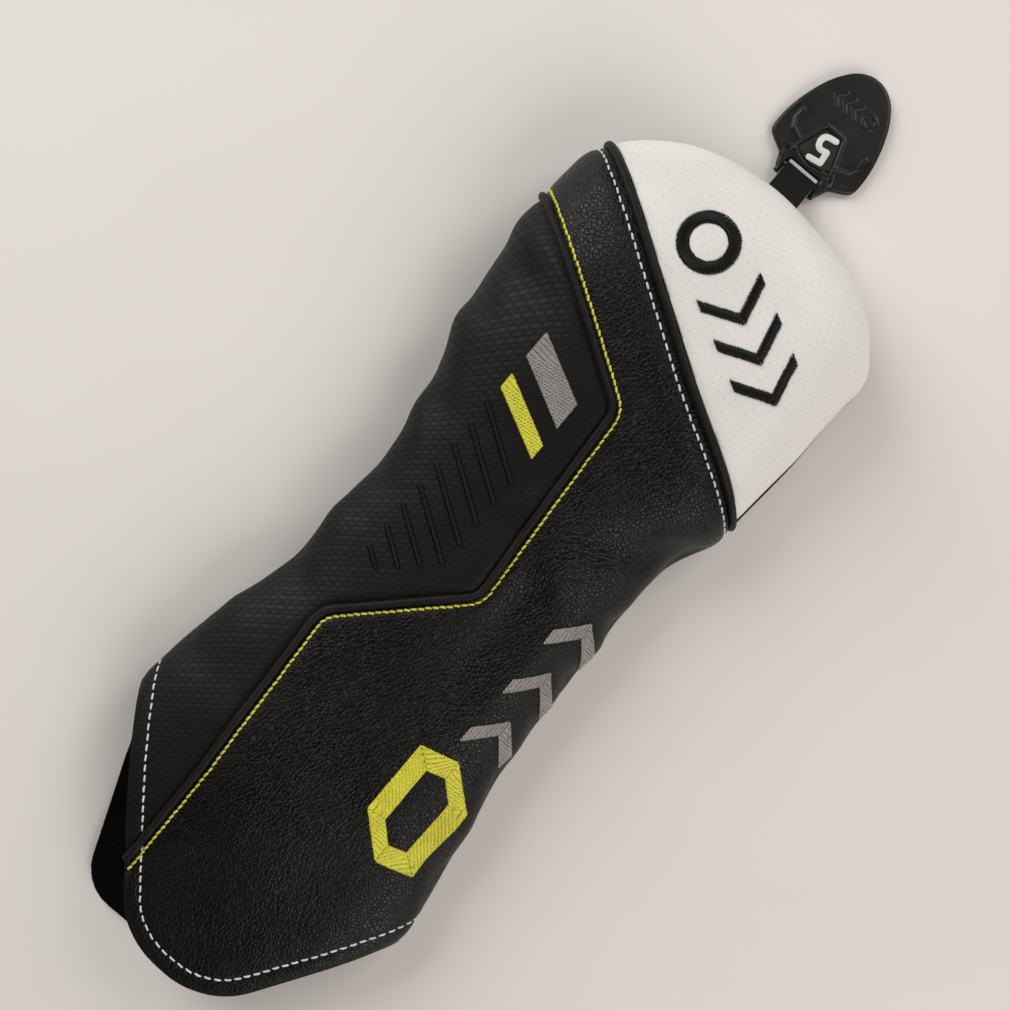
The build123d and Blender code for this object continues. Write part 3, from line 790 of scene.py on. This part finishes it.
def piping(name, path, radius):
    """A cloth-covered cord along a seam, a little uneven."""
    points, normals = path
    along = np.arange(len(points))
    wobble = 1 + 0.05 * value_noise(along / 6.0, along * 0 + 1, 51)
    wobble += 0.03 * value_noise(along / 2.0, along * 0, 52)
    tube = Threads(12)
    tube.add(points + normals * (radius - PIPING_SINK), normals, radius * wobble, radius * wobble)
    return tube.finish(name, piping_cloth)


def on_chevron_seam(places, hem_gap, crown_gap):
    """Whether places are clear of the hem and of the crown's seam."""
    clear_of_crown = signed_distance(places, crown_line) < -crown_gap
    return (signed_distance(places, front_lip_line) > hem_gap) & clear_of_crown


crown_path = seam_path(crown_line, -CROWN_PIPING, 0.7)
keep(piping("crown_seam_cord", crown_path, CROWN_CORD), "black_piping", "crown_seam_piping")
chevron_path = seam_path(chevron_line, -CHEVRON_PIPING, 0.7,
                         lambda p: on_chevron_seam(p, 0.3, CROWN_PIPING + 1.2))
keep(piping("chevron_cord", chevron_path, CHEVRON_CORD), "black_piping", "chevron_piping")


def edge_cord():
    """Thin piping round the crown's edge, open where the strap comes through."""
    grid = front.base.reshape(*front.shape, 3)
    ring = np.vstack([grid[:, 0], grid[::-1, -1]])
    ring = resample(ring[signed_distance(ring, crown_line) > -0.5], 0.8)
    out = ring - np.array([5.0, 85.0, SEAM_Z])
    out /= np.linalg.norm(out, axis=1)[:, None]
    tube = Threads(10)
    gap = (np.abs(ring[:, 0]) < STRAP_WIDTH / 2 + 1) & (ring[:, 1] > 120)
    for run in np.split(np.arange(len(ring)), np.flatnonzero(np.diff(gap.astype(int))) + 1):
        if not gap[run[0]] and len(run) > 3:
            tube.add(ring[run] - 0.15 * out[run], out[run], EDGE_CORD, EDGE_CORD)
    return tube.finish("crown_edge_cord", piping_cloth)


keep(edge_cord(), "black_piping", "crown_edge_piping")


# ---------------------------------------------------------------- topstitching
def topstitch(name, path, length, gap, half_width, half_height, material, slant):
    """Separate stitches along a path; each arches over the cloth and dives in at its ends."""
    steps = np.linalg.norm(np.diff(path[0], axis=0), axis=1)
    along = np.concatenate([[0], np.cumsum(steps)])
    threads = Threads(6)
    place = 0.3
    while place + length < along[-1]:
        spots = place + np.linspace(0, 1, 7) * length
        at, up = (np.stack([np.interp(spots, along, column) for column in values.T], axis=1)
                  for values in path)
        run = at[-1] - at[0]
        side = np.cross(run / np.linalg.norm(run), up[3])
        arch = np.sin(np.linspace(0, math.pi, 7)) ** 0.5
        shift = np.linspace(-slant, slant, 7) + rng.uniform(-0.08, 0.08)
        at = at + up * (arch * half_height * 1.5 - half_height * 0.9)[:, None] + side * shift[:, None]
        threads.add(at, up, half_width, half_height)
        place += length + gap + rng.uniform(-0.1, 0.1)
    return threads.finish(name, material)


crown_stitch_path = seam_path(crown_line, -CROWN_STITCH, 0.5)
keep(topstitch("crown_stitches", crown_stitch_path, 2.5, 0.75, 0.36, 0.30, white_thread, 0.12),
     "white_thread", "crown_topstitch")
hem_path = seam_path(front_lip_line, HEM_STITCH, 0.5,
                     lambda p: np.abs(signed_distance(p, chevron_line) + CHEVRON_PIPING) > 1.9)
keep(topstitch("hem_stitches", hem_path, 2.5, 0.75, 0.34, 0.28, white_thread, 0.12), "white_thread",
     "hem_topstitch")
yellow_path = seam_path(chevron_line, 0.0, 0.5, lambda p: on_chevron_seam(p, 0.6, CROWN_STITCH + 1.5))
keep(topstitch("chevron_stitches", yellow_path, 2.15, 0.12, 0.42, 0.36, yellow_thread, 0.2), "yellow_thread",
     "chevron_topstitch")


# ---------------------------------------------------------------- embroidery
ROW = 0.36              # spacing of threads
STITCH = 3.0            # length of one fill stitch
FILL_HEIGHT, SATIN_HEIGHT, SATIN_ARCH = 0.45, 0.55, 0.42
FILL_TURN = 62          # fill stitches against a shape's first side, in degrees


def row_spans(outline, direction, spacing):
    """Parallel chords across an outline: (start, end) for each row."""
    along = np.array([math.cos(direction), math.sin(direction)])
    over = np.array([-along[1], along[0]])
    shape = np.array(outline, float)
    low, high = (shape @ over).min(), (shape @ over).max()
    spans = []
    count = int((high - low) / spacing)
    for index in range(count):
        level = low + spacing * (index + 0.5)
        hits = []
        for a, b in zip(shape, np.roll(shape, -1, axis=0)):
            ha, hb = a @ over - level, b @ over - level
            if (ha < 0) != (hb < 0):
                cross = a + (b - a) * ha / (ha - hb)
                hits.append(cross @ along)
        hits.sort()
        for start, end in zip(hits[::2], hits[1::2]):
            spans.append((index, along * start + over * level, along * end + over * level))
    return spans


def fill_stitch(threads, outline, direction, height):
    """Tatami fill: rows of short stitches whose needle points step from row to row."""
    for index, start, end in row_spans(outline, direction, ROW):
        length = np.linalg.norm(end - start)
        if length < 0.5:
            continue
        offset = (index % 4) / 4 * STITCH
        cuts = [0.0]
        place = STITCH - offset
        while place < length - 0.4:
            if place > 0.4:
                cuts.append(place + rng.uniform(-0.12, 0.12))
            place += STITCH
        cuts.append(length + rng.uniform(-0.08, 0.08))
        run = (end - start) / length
        for low, high in zip(cuts, cuts[1:]):
            lay_stitch(threads, start + run * low, start + run * high, height)


def lay_stitch(threads, start, end, height, arch=0.16):
    count = max(3, int(np.linalg.norm(end - start) / 0.7) + 2)
    share = np.linspace(0, 1, count)
    places = start + (end - start) * share[:, None]
    points, normals = lift_points(places)
    hump = np.sin(share * math.pi) ** 0.5
    points = points + normals * (height - arch + arch * hump + rng.uniform(-0.03, 0.03))[:, None]
    threads.add(points, normals, 0.24, 0.17)


def satin(threads, path, width, height):
    """Satin stitches across a stroke that follows a plan path."""
    line = resample(np.array(path, float), ROW)
    over = line_normals(line)
    for index, (place, side) in enumerate(zip(line, over)):
        reach = width / 2 + rng.uniform(-0.07, 0.07)
        lean = (line[min(index + 1, len(line) - 1)] - place) * 0.4
        lay_stitch(threads, place - side * reach - lean, place + side * reach + lean, height, SATIN_ARCH)


def satin_area(threads, outline, direction, height):
    """One raised stitch right across the shape in each row."""
    for _, start, end in row_spans(outline, direction, ROW):
        length = np.linalg.norm(end - start)
        if length > 0.6:
            run = (end - start) / length
            start, end = start + run * rng.uniform(-0.1, 0.1), end + run * rng.uniform(-0.1, 0.1)
            lay_stitch(threads, start, end, height, min(SATIN_ARCH, length * 0.12))


BAR_LEFT, BAR_RIGHT = -29.0, -7.4
BAR_SLOPE, WIDE_BAR_SLOPE = -0.67, -0.52
BAR_WIDTH, BAR_PITCH, FIRST_BAR_Y = 2.2, 8.25, -36.5
SHORT_BAR_RUN, BAR_RUN_STEP, BAR_COUNT = 6.2, 5.0, 8


def accent_bars():
    threads = Threads()
    for index in range(BAR_COUNT):
        right = min(BAR_LEFT + SHORT_BAR_RUN + BAR_RUN_STEP * index, BAR_RIGHT)
        start = (BAR_LEFT, FIRST_BAR_Y + BAR_PITCH * index)
        end = (right, start[1] + (right - BAR_LEFT) * BAR_SLOPE)
        satin(threads, [start, end], BAR_WIDTH * 0.85, 0.5)
    return threads.finish("black_bars", black_thread)


def wide_bar(name, low, high, material):
    drop = (BAR_RIGHT - BAR_LEFT) * WIDE_BAR_SLOPE
    outline = [(BAR_LEFT, low), (BAR_LEFT, high), (BAR_RIGHT, high + drop), (BAR_RIGHT, low + drop)]
    threads = Threads()
    fill_stitch(threads, outline, math.atan(WIDE_BAR_SLOPE) + 0.9, FILL_HEIGHT)
    return threads.finish(name, material)


keep(accent_bars(), "black_thread", "black_accent_bars")
keep(wide_bar("yellow_bar", 27.6, 33.3, yellow_thread), "yellow_thread", "yellow_accent_bar")
keep(wide_bar("silver_bar", 39.8, 49.5, silver_thread), "silver_thread", "silver_accent_bar")


def turned(points, centre, degrees):
    angle = math.radians(degrees)
    return [(centre[0] + x * math.cos(angle) - y * math.sin(angle),
             centre[1] + x * math.sin(angle) + y * math.cos(angle)) for x, y in points]


MOTIF_CENTRE, MOTIF_ANGLE, MOTIF_STROKE = (12.0, 90.5), -27.0, 4.2
BALL_RADIUS, BALL_OFFSET = 10.0, -23.0
MOTIF_CHEVRONS, CHEVRON_REACH = (-2.0, 11.0, 24.0), (9.0, 10.5)
RING_CENTRE, RING_SLANT, RING_STROKE = (36.0, -91.0), -0.35, 6.8
RING_HALF, RING_LENGTH, RING_POINT = 12.8, 20.5, 7.5
SILVER_CHEVRONS = ((40.0, -58.0), (40.2, -38.0), (40.2, -18.0))
SILVER_CHEVRON = (8.4, 9.0, 6.0)        # half width, rise and stroke


def first_side(outline):
    """The direction of an outline's first side."""
    (ax, ay), (bx, by) = outline[:2]
    return math.atan2(by - ay, bx - ax)


def crown_embroidery():
    """A ball and three chevrons in black satin stitch."""
    threads = Threads()
    middle = BALL_RADIUS - MOTIF_STROKE / 2
    angles = np.linspace(0, 2 * math.pi, 60)
    ring = [(BALL_OFFSET + middle * math.cos(a), middle * math.sin(a)) for a in angles]
    satin(threads, turned(ring, MOTIF_CENTRE, MOTIF_ANGLE), MOTIF_STROKE, SATIN_HEIGHT)
    rise, half = CHEVRON_REACH
    for along in MOTIF_CHEVRONS:
        for arm in chevron_outlines((0, along), half, rise, MOTIF_STROKE):
            outline = turned([(y, -x) for x, y in arm], MOTIF_CENTRE, MOTIF_ANGLE)
            satin_area(threads, outline, first_side(outline) + math.pi / 2, SATIN_HEIGHT)
    return threads.finish("crown_embroidery", black_thread)


def bars_of_ring():
    """The six bars of the slanted six-sided ring."""
    rings = []
    for inset, tip in ((0.0, RING_POINT), (RING_STROKE, RING_POINT / 2)):
        w, h = RING_HALF - inset, RING_LENGTH - inset
        corners = [(0, h), (w, h - tip), (w, tip - h), (0, -h), (-w, tip - h), (-w, h - tip)]
        rings.append([(RING_CENTRE[0] + x, RING_CENTRE[1] + y + RING_SLANT * x) for x, y in corners])
    outer, inner = rings
    return [[outer[k], outer[(k + 1) % 6], inner[(k + 1) % 6], inner[k]] for k in range(6)]


def chevron_outlines(centre, half_width, rise, stroke):
    """The two arms of a chevron that points at the crown."""
    x, y = centre
    arms = []
    for side in (-1, 1):
        arms.append([(x, y + rise / 2 + stroke / 2), (x + side * half_width, y - rise / 2 + stroke / 2),
                     (x + side * half_width, y - rise / 2 - stroke / 2), (x, y + rise / 2 - stroke / 2)])
    return arms


def body_embroidery(name, outlines, material):
    """Filled shapes; in each the stitches run square to its first side, a little turned."""
    threads = Threads()
    for outline in outlines:
        fill_stitch(threads, outline, first_side(outline) + math.radians(FILL_TURN), FILL_HEIGHT)
    return threads.finish(name, material)


keep(crown_embroidery(), "black_thread", "crown_motif")
silver_arms = []
for place in SILVER_CHEVRONS:
    silver_arms += chevron_outlines(place, *SILVER_CHEVRON)
keep(body_embroidery("yellow_embroidery", bars_of_ring(), yellow_thread), "yellow_thread",
     "yellow_body_motif")
keep(body_embroidery("silver_embroidery", silver_arms, silver_thread), "silver_thread",
     "silver_body_motif")


# ---------------------------------------------------------------- neck elastic
def ribbed_band(name, node_name):
    """A flat elastic with ribs across it."""
    low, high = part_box(node_name)
    low, high = np.array(low) / MM, np.array(high) / MM
    xs = np.arange(low[0], high[0] + 0.01, 0.5)
    ys = np.linspace(low[1], high[1], 15)
    gx, gy = np.meshgrid(xs, ys)
    ribs = 0.12 * np.sin(gx * 2 * math.pi / 1.5) + 0.05 * np.sin(gy * 2 * math.pi / 1.1)
    top = np.stack([gx, gy, high[2] - 0.17 + ribs], axis=2).reshape(-1, 3)
    base = np.stack([gx, gy, np.full_like(gx, low[2])], axis=2).reshape(-1, 3)
    faces = [tuple(int(i) for i in face) for face in grid_quads(*gx.shape)]
    return closed_shell(name, top, base, faces, elastic_cloth)


for level in ("lower", "middle", "upper"):
    keep(ribbed_band(f"elastic_{level}", f"neck_elastic_{level}"), "elastic", f"neck_elastic_{level}")

# ---------------------------------------------------------------- number tag
TAG_SIDE = [(6.9, 142.8), (8.1, 144.1), (9.0, 145.6), (9.7, 147.3), (10.6, 149.0), (12.6, 150.2),
            (14.6, 151.2), (16.4, 152.4), (17.3, 153.5), (17.65, 155.4), (17.7, 158.0), (17.4, 162.0),
            (16.4, 167.0), (14.6, 173.0), (12.0, 178.8), (8.2, 184.0), (4.2, 186.7), (0.0, 187.6)]
SLOT_HALF, SLOT_FAR = 6.35, 149.6
TAG_THICKNESS, TAG_SPLIT = 3.4, 1.6
BAR_Y, BAR_Z, BAR_RADIUS = 147.0, 2.2, 1.1
TAG_CELL = 0.25
WINDOW_SIDE = [(3.3, 164.4), (7.1, 153.8), (3.6, 152.15)]
WINDOW = [(-x, y) for x, y in WINDOW_SIDE[:1]] + WINDOW_SIDE + [(0.0, 151.6)]
WINDOW += [(-x, y) for x, y in WINDOW_SIDE[:0:-1]]


EDGE_ROUND, BRIDGE_RADIUS = 1.3, 14.1
WING_RIDGE = [(13.3, 164.2), (13.6, 160.4), (12.0, 157.4), (8.0, 155.6)]
WING_SHELF = WING_RIDGE + [(7.4, 154.6), (10.4, 148.0), (22, 146), (22, 166), (13.3, 164.2)]
WING_CHANNEL = [(7.6, 155.0), (10.6, 148.2)]


def closed_curve(points, step=0.4):
    """A smooth closed line through points."""
    points = np.array(points, float)
    count = len(points)
    line = []
    for index in range(count):
        near = [points[(index + k) % count] for k in (-1, 0, 1, 2)]
        for share in np.linspace(0, 1, 8, endpoint=False):
            line.append(smooth_curve(*near, share))
    line.append(line[0])
    return resample(np.array(line), step)


tag_ring = closed_curve(TAG_SIDE + [(-x, y) for x, y in reversed(TAG_SIDE[:-1])])
window_ring = resample(np.array(WINDOW[::-1] + WINDOW[-1:], float), 0.3)


def stroke_distance(places, path):
    return np.abs(signed_distance(places, np.array(path, float)))


def smooth_step(value, low, high):
    share = np.clip((value - low) / (high - low), 0, 1)
    return share * share * (3 - 2 * share)


def tag_grid():
    low, high = tag_ring.min(0) - 1, tag_ring.max(0) + 1
    xs = np.arange(low[0], high[0], TAG_CELL)
    ys = np.arange(low[1], high[1], TAG_CELL)
    gx, gy = np.meshgrid(xs, ys)
    return np.stack([gx.reshape(-1), gy.reshape(-1)], axis=1), grid_quads(*gx.shape)


def slot_distance(places):
    """Distance outside the slot, which is open towards the bar."""
    dx = np.abs(places[:, 0]) - SLOT_HALF
    dy = places[:, 1] - SLOT_FAR
    outside = np.hypot(np.maximum(dx, 0), np.maximum(dy, 0))
    return np.where((dx < 0) & (dy < 0), np.maximum(dx, dy), outside)


def tag_shell(name, top, low, fields, material):
    """A moulded shell between two height fields."""
    places, quads = tag_grid()
    points = np.column_stack([places] + [column(places) for column in (top, low, *fields)])
    others = []
    for column in range(4, points.shape[1]):
        points, quads, others = clip(points, quads, others, points[:, column])
    points, faces = compact(points, quads, others)
    return closed_shell(name, points[:, [0, 1, 2]], points[:, [0, 1, 3]], faces, material)


def tag_edge(places):
    return np.minimum(signed_distance(places, tag_ring), slot_distance(places))


def rounded_edge(places):
    """How far the moulding's edge falls away: 1 at the edge, 0 past the rounding."""
    inward = np.clip(tag_edge(places) / EDGE_ROUND, 0, 1)
    return 1 - np.sqrt(np.clip(1 - (1 - inward) ** 2, 0, 1))


def ridge_at(distance, width):
    return np.exp(-(distance / width) ** 2)


def front_height(places):
    """The moulded face: window rim, stepped wings, bridge line and embossed motif."""
    x, y = places.T
    window = signed_distance(places, window_ring)
    height = TAG_THICKNESS - 0.9 * rounded_edge(places)
    height -= 1.0 * smooth_step(window, -0.25, 0.35)
    height += 0.28 * ridge_at(window + 0.8, 0.45)
    for side in (-1, 1):
        shelf, ridge, channel = (np.array([(side * px, py) for px, py in line])
                                 for line in (WING_SHELF, WING_RIDGE, WING_CHANNEL))
        inside = signed_distance(places, resample(shelf, 0.3)) * side
        height -= 0.40 * smooth_step(inside, -0.15, 0.35) * smooth_step(166.0 - y, 0, 5)
        height += 0.22 * ridge_at(stroke_distance(places, ridge) - 0.25, 0.5)
        height -= 0.45 * ridge_at(stroke_distance(places, channel), 0.55)
    lower = (y < 152.4) & (np.abs(x) < 9.5)
    height -= lower * 0.5 * smooth_step(np.abs(np.hypot(x, y - 164.2) - BRIDGE_RADIUS), 0.55, 0.95)
    height += 0.30 * smooth_step(TAG_MOTIF_STROKE / 2 + 0.12 - tag_motif_distance(places), 0, 0.24)
    return np.maximum(height, TAG_SPLIT + 0.5)


TAG_MOTIF_CENTRE, TAG_MOTIF_SCALE = (0.0, 174.7), 0.28
TAG_MOTIF_STROKE = MOTIF_STROKE * TAG_MOTIF_SCALE


def tag_motif_distance(places):
    """Distance from the middle lines of the tag's ball and chevrons."""
    along = (TAG_MOTIF_CENTRE[0] - places[:, 0]) / TAG_MOTIF_SCALE
    over = (TAG_MOTIF_CENTRE[1] - places[:, 1]) / TAG_MOTIF_SCALE
    result = np.abs(np.hypot(along - BALL_OFFSET, over) - (BALL_RADIUS - MOTIF_STROKE / 2))
    rise, half = CHEVRON_REACH
    here = np.stack([along, over], axis=1)
    for offset in MOTIF_CHEVRONS:
        path = [(offset - rise / 2, -half + 1), (offset + rise / 2, 0), (offset - rise / 2, half - 1)]
        result = np.minimum(result, stroke_distance(here, path))
    return result * TAG_MOTIF_SCALE


def back_height(places):
    return 0.05 + 0.75 * rounded_edge(places)


def flat_height(value):
    return lambda places: np.full(len(places), value)


def inside_tag(inset):
    return lambda p: signed_distance(p, tag_ring) - inset


front_shell = tag_shell("tag_front", front_height, flat_height(TAG_SPLIT + 0.02),
                        [inside_tag(0), slot_distance], tag_rubber)
keep(front_shell, "tag_rubber", "tag_front_shell", "tag_motif", body="tag")
back_shell = tag_shell("tag_back", flat_height(TAG_SPLIT - 0.02), back_height,
                       [inside_tag(0.12), lambda p: slot_distance(p) - 0.12, lambda p: p[:, 1] - 148.6],
                       tag_rubber)
keep(back_shell, "tag_rubber", "tag_back_shell", body="tag")
window_plate = tag_shell("tag_window", flat_height(TAG_THICKNESS - 0.62), flat_height(TAG_THICKNESS - 0.98),
                         [lambda p: signed_distance(p, window_ring) - 0.3], window_rubber)
keep(window_plate, "tag_rubber", "tag_number_plate", body="tag")


def tag_bar():
    """The round bar that the strap goes round."""
    bar = Threads(16)
    xs = np.linspace(-SLOT_HALF - 1.0, SLOT_HALF + 1.0, 9)
    bar.add(np.stack([xs, xs * 0 + BAR_Y, xs * 0 + BAR_Z], axis=1), np.tile((0.0, 0.0, 1.0), (9, 1)),
            BAR_RADIUS, BAR_RADIUS)
    return bar.finish("tag_bar", tag_rubber)


keep(tag_bar(), "tag_rubber", body="tag")

DIGIT_CENTRE = (0.2, 158.1)
DIGIT_TURN = 190.0
DIGIT_STROKE = 2.1
DIGIT_PATH = [(2.7, 4.3), (-1.6, 4.3), (-1.85, 0.25), (0.3, 0.35), (1.2, 0.05), (1.8, -0.7), (2.05, -2.2),
              (1.7, -3.6), (0.9, -4.3), (-0.2, -4.5), (-2.7, -4.5)]


def digit():
    """The numeral, raised and softly rounded."""
    path = resample(np.array(turned(DIGIT_PATH, DIGIT_CENTRE, DIGIT_TURN)), 0.2)
    half = DIGIT_STROKE / 2
    return tag_shell(
        "tag_digit",
        lambda p: TAG_THICKNESS - 0.30 - 0.22 * smooth_step(stroke_distance(p, path), half - 0.5, half),
        flat_height(TAG_THICKNESS - 0.60),
        [lambda p: half - stroke_distance(p, path)], tag_print)


keep(digit(), "tag_print", "tag_number", body="tag")

# ---------------------------------------------------------------- strap
PLY, STRAP_STEP, RIB_PITCH = 0.7, 0.18, 0.9
LOOP_RADIUS = BAR_RADIUS + 0.3 + PLY / 2


def strap_line():
    """The webbing's middle line from the crown's edge, round the bar and back, seen from the side."""
    top = [(134.55, 11.40), (135.6, 11.0), (137.2, 9.9), (138.8, 8.4), (140.3, 6.9), (142.0, 5.5),
           (143.8, 4.5), (145.7, 4.0)]
    angles = np.radians(np.linspace(105, -135, 15))
    loop = [(BAR_Y + LOOP_RADIUS * math.cos(a), BAR_Z + LOOP_RADIUS * math.sin(a)) for a in angles]
    bottom = [(144.4, 2.3), (143.2, 3.3), (141.6, 4.6), (139.9, 6.0), (138.3, 7.5), (136.6, 9.1),
              (135.2, 10.2), (134.55, 10.6)]
    return resample(np.array(top + loop + bottom), STRAP_STEP)


def strap():
    line = strap_line()
    out = line_normals(line)
    ribs = 0.07 * np.sin(np.arange(len(line)) * STRAP_STEP * 2 * math.pi / RIB_PITCH)
    across = np.linspace(-STRAP_WIDTH / 2, STRAP_WIDTH / 2, 25)
    weave = 0.03 * np.sin(across * 2 * math.pi)
    selvedge = np.where(np.abs(across) > STRAP_WIDTH / 2 - 0.6, -0.08, 0.0)
    height = PLY / 2 - 0.08 + ribs[:, None] + weave + selvedge
    grids = []
    for side in (-1, 1):
        spot = line[:, None, :] + side * out[:, None, :] * height[:, :, None]
        grids.append(np.dstack([np.broadcast_to(across, height.shape), spot]).reshape(-1, 3))
    faces = [tuple(int(i) for i in face) for face in grid_quads(*height.shape)]
    return closed_shell("strap_webbing", *grids, faces, webbing)


keep(strap(), "black_webbing", "tag_strap", body="strap")


def stripe():
    """A pale band across the webbing, at the top of the bend where it dives round the tag's bar."""
    threads = Threads()
    radius = LOOP_RADIUS + PLY / 2 + 0.06
    for index, degrees in enumerate(np.linspace(72, 28, 7)):
        angle = math.radians(degrees)
        y, z = BAR_Y + radius * math.cos(angle), BAR_Z + radius * math.sin(angle)
        xs = np.arange(-5.8, 5.81, 0.29)
        bob = 0.04 * np.sin(xs * 2 * math.pi / 0.9 + index * 1.6)
        path = np.stack([xs, xs * 0 + y, xs * 0 + z + bob], axis=1)
        threads.add(path, np.tile((0.0, math.cos(angle), math.sin(angle)), (len(xs), 1)), 0.13, 0.1)
    return threads.finish("strap_pale_stripe", pale_thread)


keep(stripe(), "pale_thread", "strap_stripe", body="strap")


# ---------------------------------------------------------------- stage
TABLE, TABLE_SHADE = (0.80, 0.775, 0.745), (0.77, 0.745, 0.71)
TABLE_REACH = 1.15      # metres from the middle to each edge


def stage():
    table = Paint("pale_table", TABLE, 0.5, Specular_IOR_Level=0.3)
    broad = table.remap(table.noise(120, 3), 0.3, 0.7, 0, 1)
    table.feed("Base Color", table.mix(broad, TABLE, TABLE_SHADE))
    table.bump((table.noise(0.8, 3, 0.6), 0.15, 0.05))
    mesh = bpy.data.meshes.new("table_top")
    corners = [(x * TABLE_REACH, y * TABLE_REACH, 0) for x, y in ((-1, -1), (1, -1), (1, 1), (-1, 1))]
    mesh.from_pydata(corners, [], [(0, 1, 2, 3)])
    mesh.materials.append(table.material)
    floor = bpy.data.objects.new("table_top", mesh)
    bpy.context.scene.collection.objects.link(floor)


def area_light(name, location, size, power, colour):
    """A soft light that faces the cover."""
    data = bpy.data.lights.new(name, "AREA")
    data.shape = "RECTANGLE"
    data.size, data.size_y = size
    data.energy = power
    data.color = colour
    lamp = bpy.data.objects.new(name, data)
    lamp.location = location
    lamp.rotation_euler = (-Vector(location)).to_track_quat("-Z", "Y").to_euler()
    bpy.context.scene.collection.objects.link(lamp)


def lights():
    area_light("window", (-1.1, 0.25, 0.75), (0.9, 1.1), 13.0, (1.0, 0.99, 0.97))
    area_light("room", (0.35, 1.3, 0.9), (0.8, 1.0), 10.2, (1.0, 0.97, 0.935))
    area_light("behind", (1.2, -0.5, 0.95), (1.2, 1.0), 14.0, (1.0, 0.95, 0.90))
    world = bpy.data.worlds.new("room")
    world.use_nodes = True
    nodes, join = world.node_tree.nodes, world.node_tree.links.new
    glow, backdrop = nodes["Background"], nodes.new("ShaderNodeBackground")
    glow.inputs["Color"].default_value = (1.0, 0.96, 0.92, 1)
    glow.inputs["Strength"].default_value = 0.10
    backdrop.inputs["Color"].default_value = (0.60, 0.575, 0.545, 1)
    either = nodes.new("ShaderNodeMixShader")
    join(nodes.new("ShaderNodeLightPath").outputs["Is Camera Ray"], either.inputs[0])
    join(glow.outputs[0], either.inputs[1])
    join(backdrop.outputs[0], either.inputs[2])
    join(either.outputs[0], nodes["World Output"].inputs["Surface"])
    bpy.context.scene.world = world


CAMERA_HEIGHT = 0.480
CAMERA_SPOT = (-0.00465, 0.0005)
CAMERA_TURN = 40.0
CAMERA_LENS = 51.4


def camera():
    data = bpy.data.cameras.new("camera")
    data.sensor_width = 36
    data.lens = CAMERA_LENS
    data.clip_start = 0.01
    eye = bpy.data.objects.new("camera", data)
    eye.location = (*CAMERA_SPOT, CAMERA_HEIGHT)
    eye.rotation_euler = (0, 0, math.radians(CAMERA_TURN))
    bpy.context.scene.collection.objects.link(eye)
    bpy.context.scene.camera = eye


stage()
lights()
camera()
bpy.context.scene.view_settings.view_transform = "Standard"
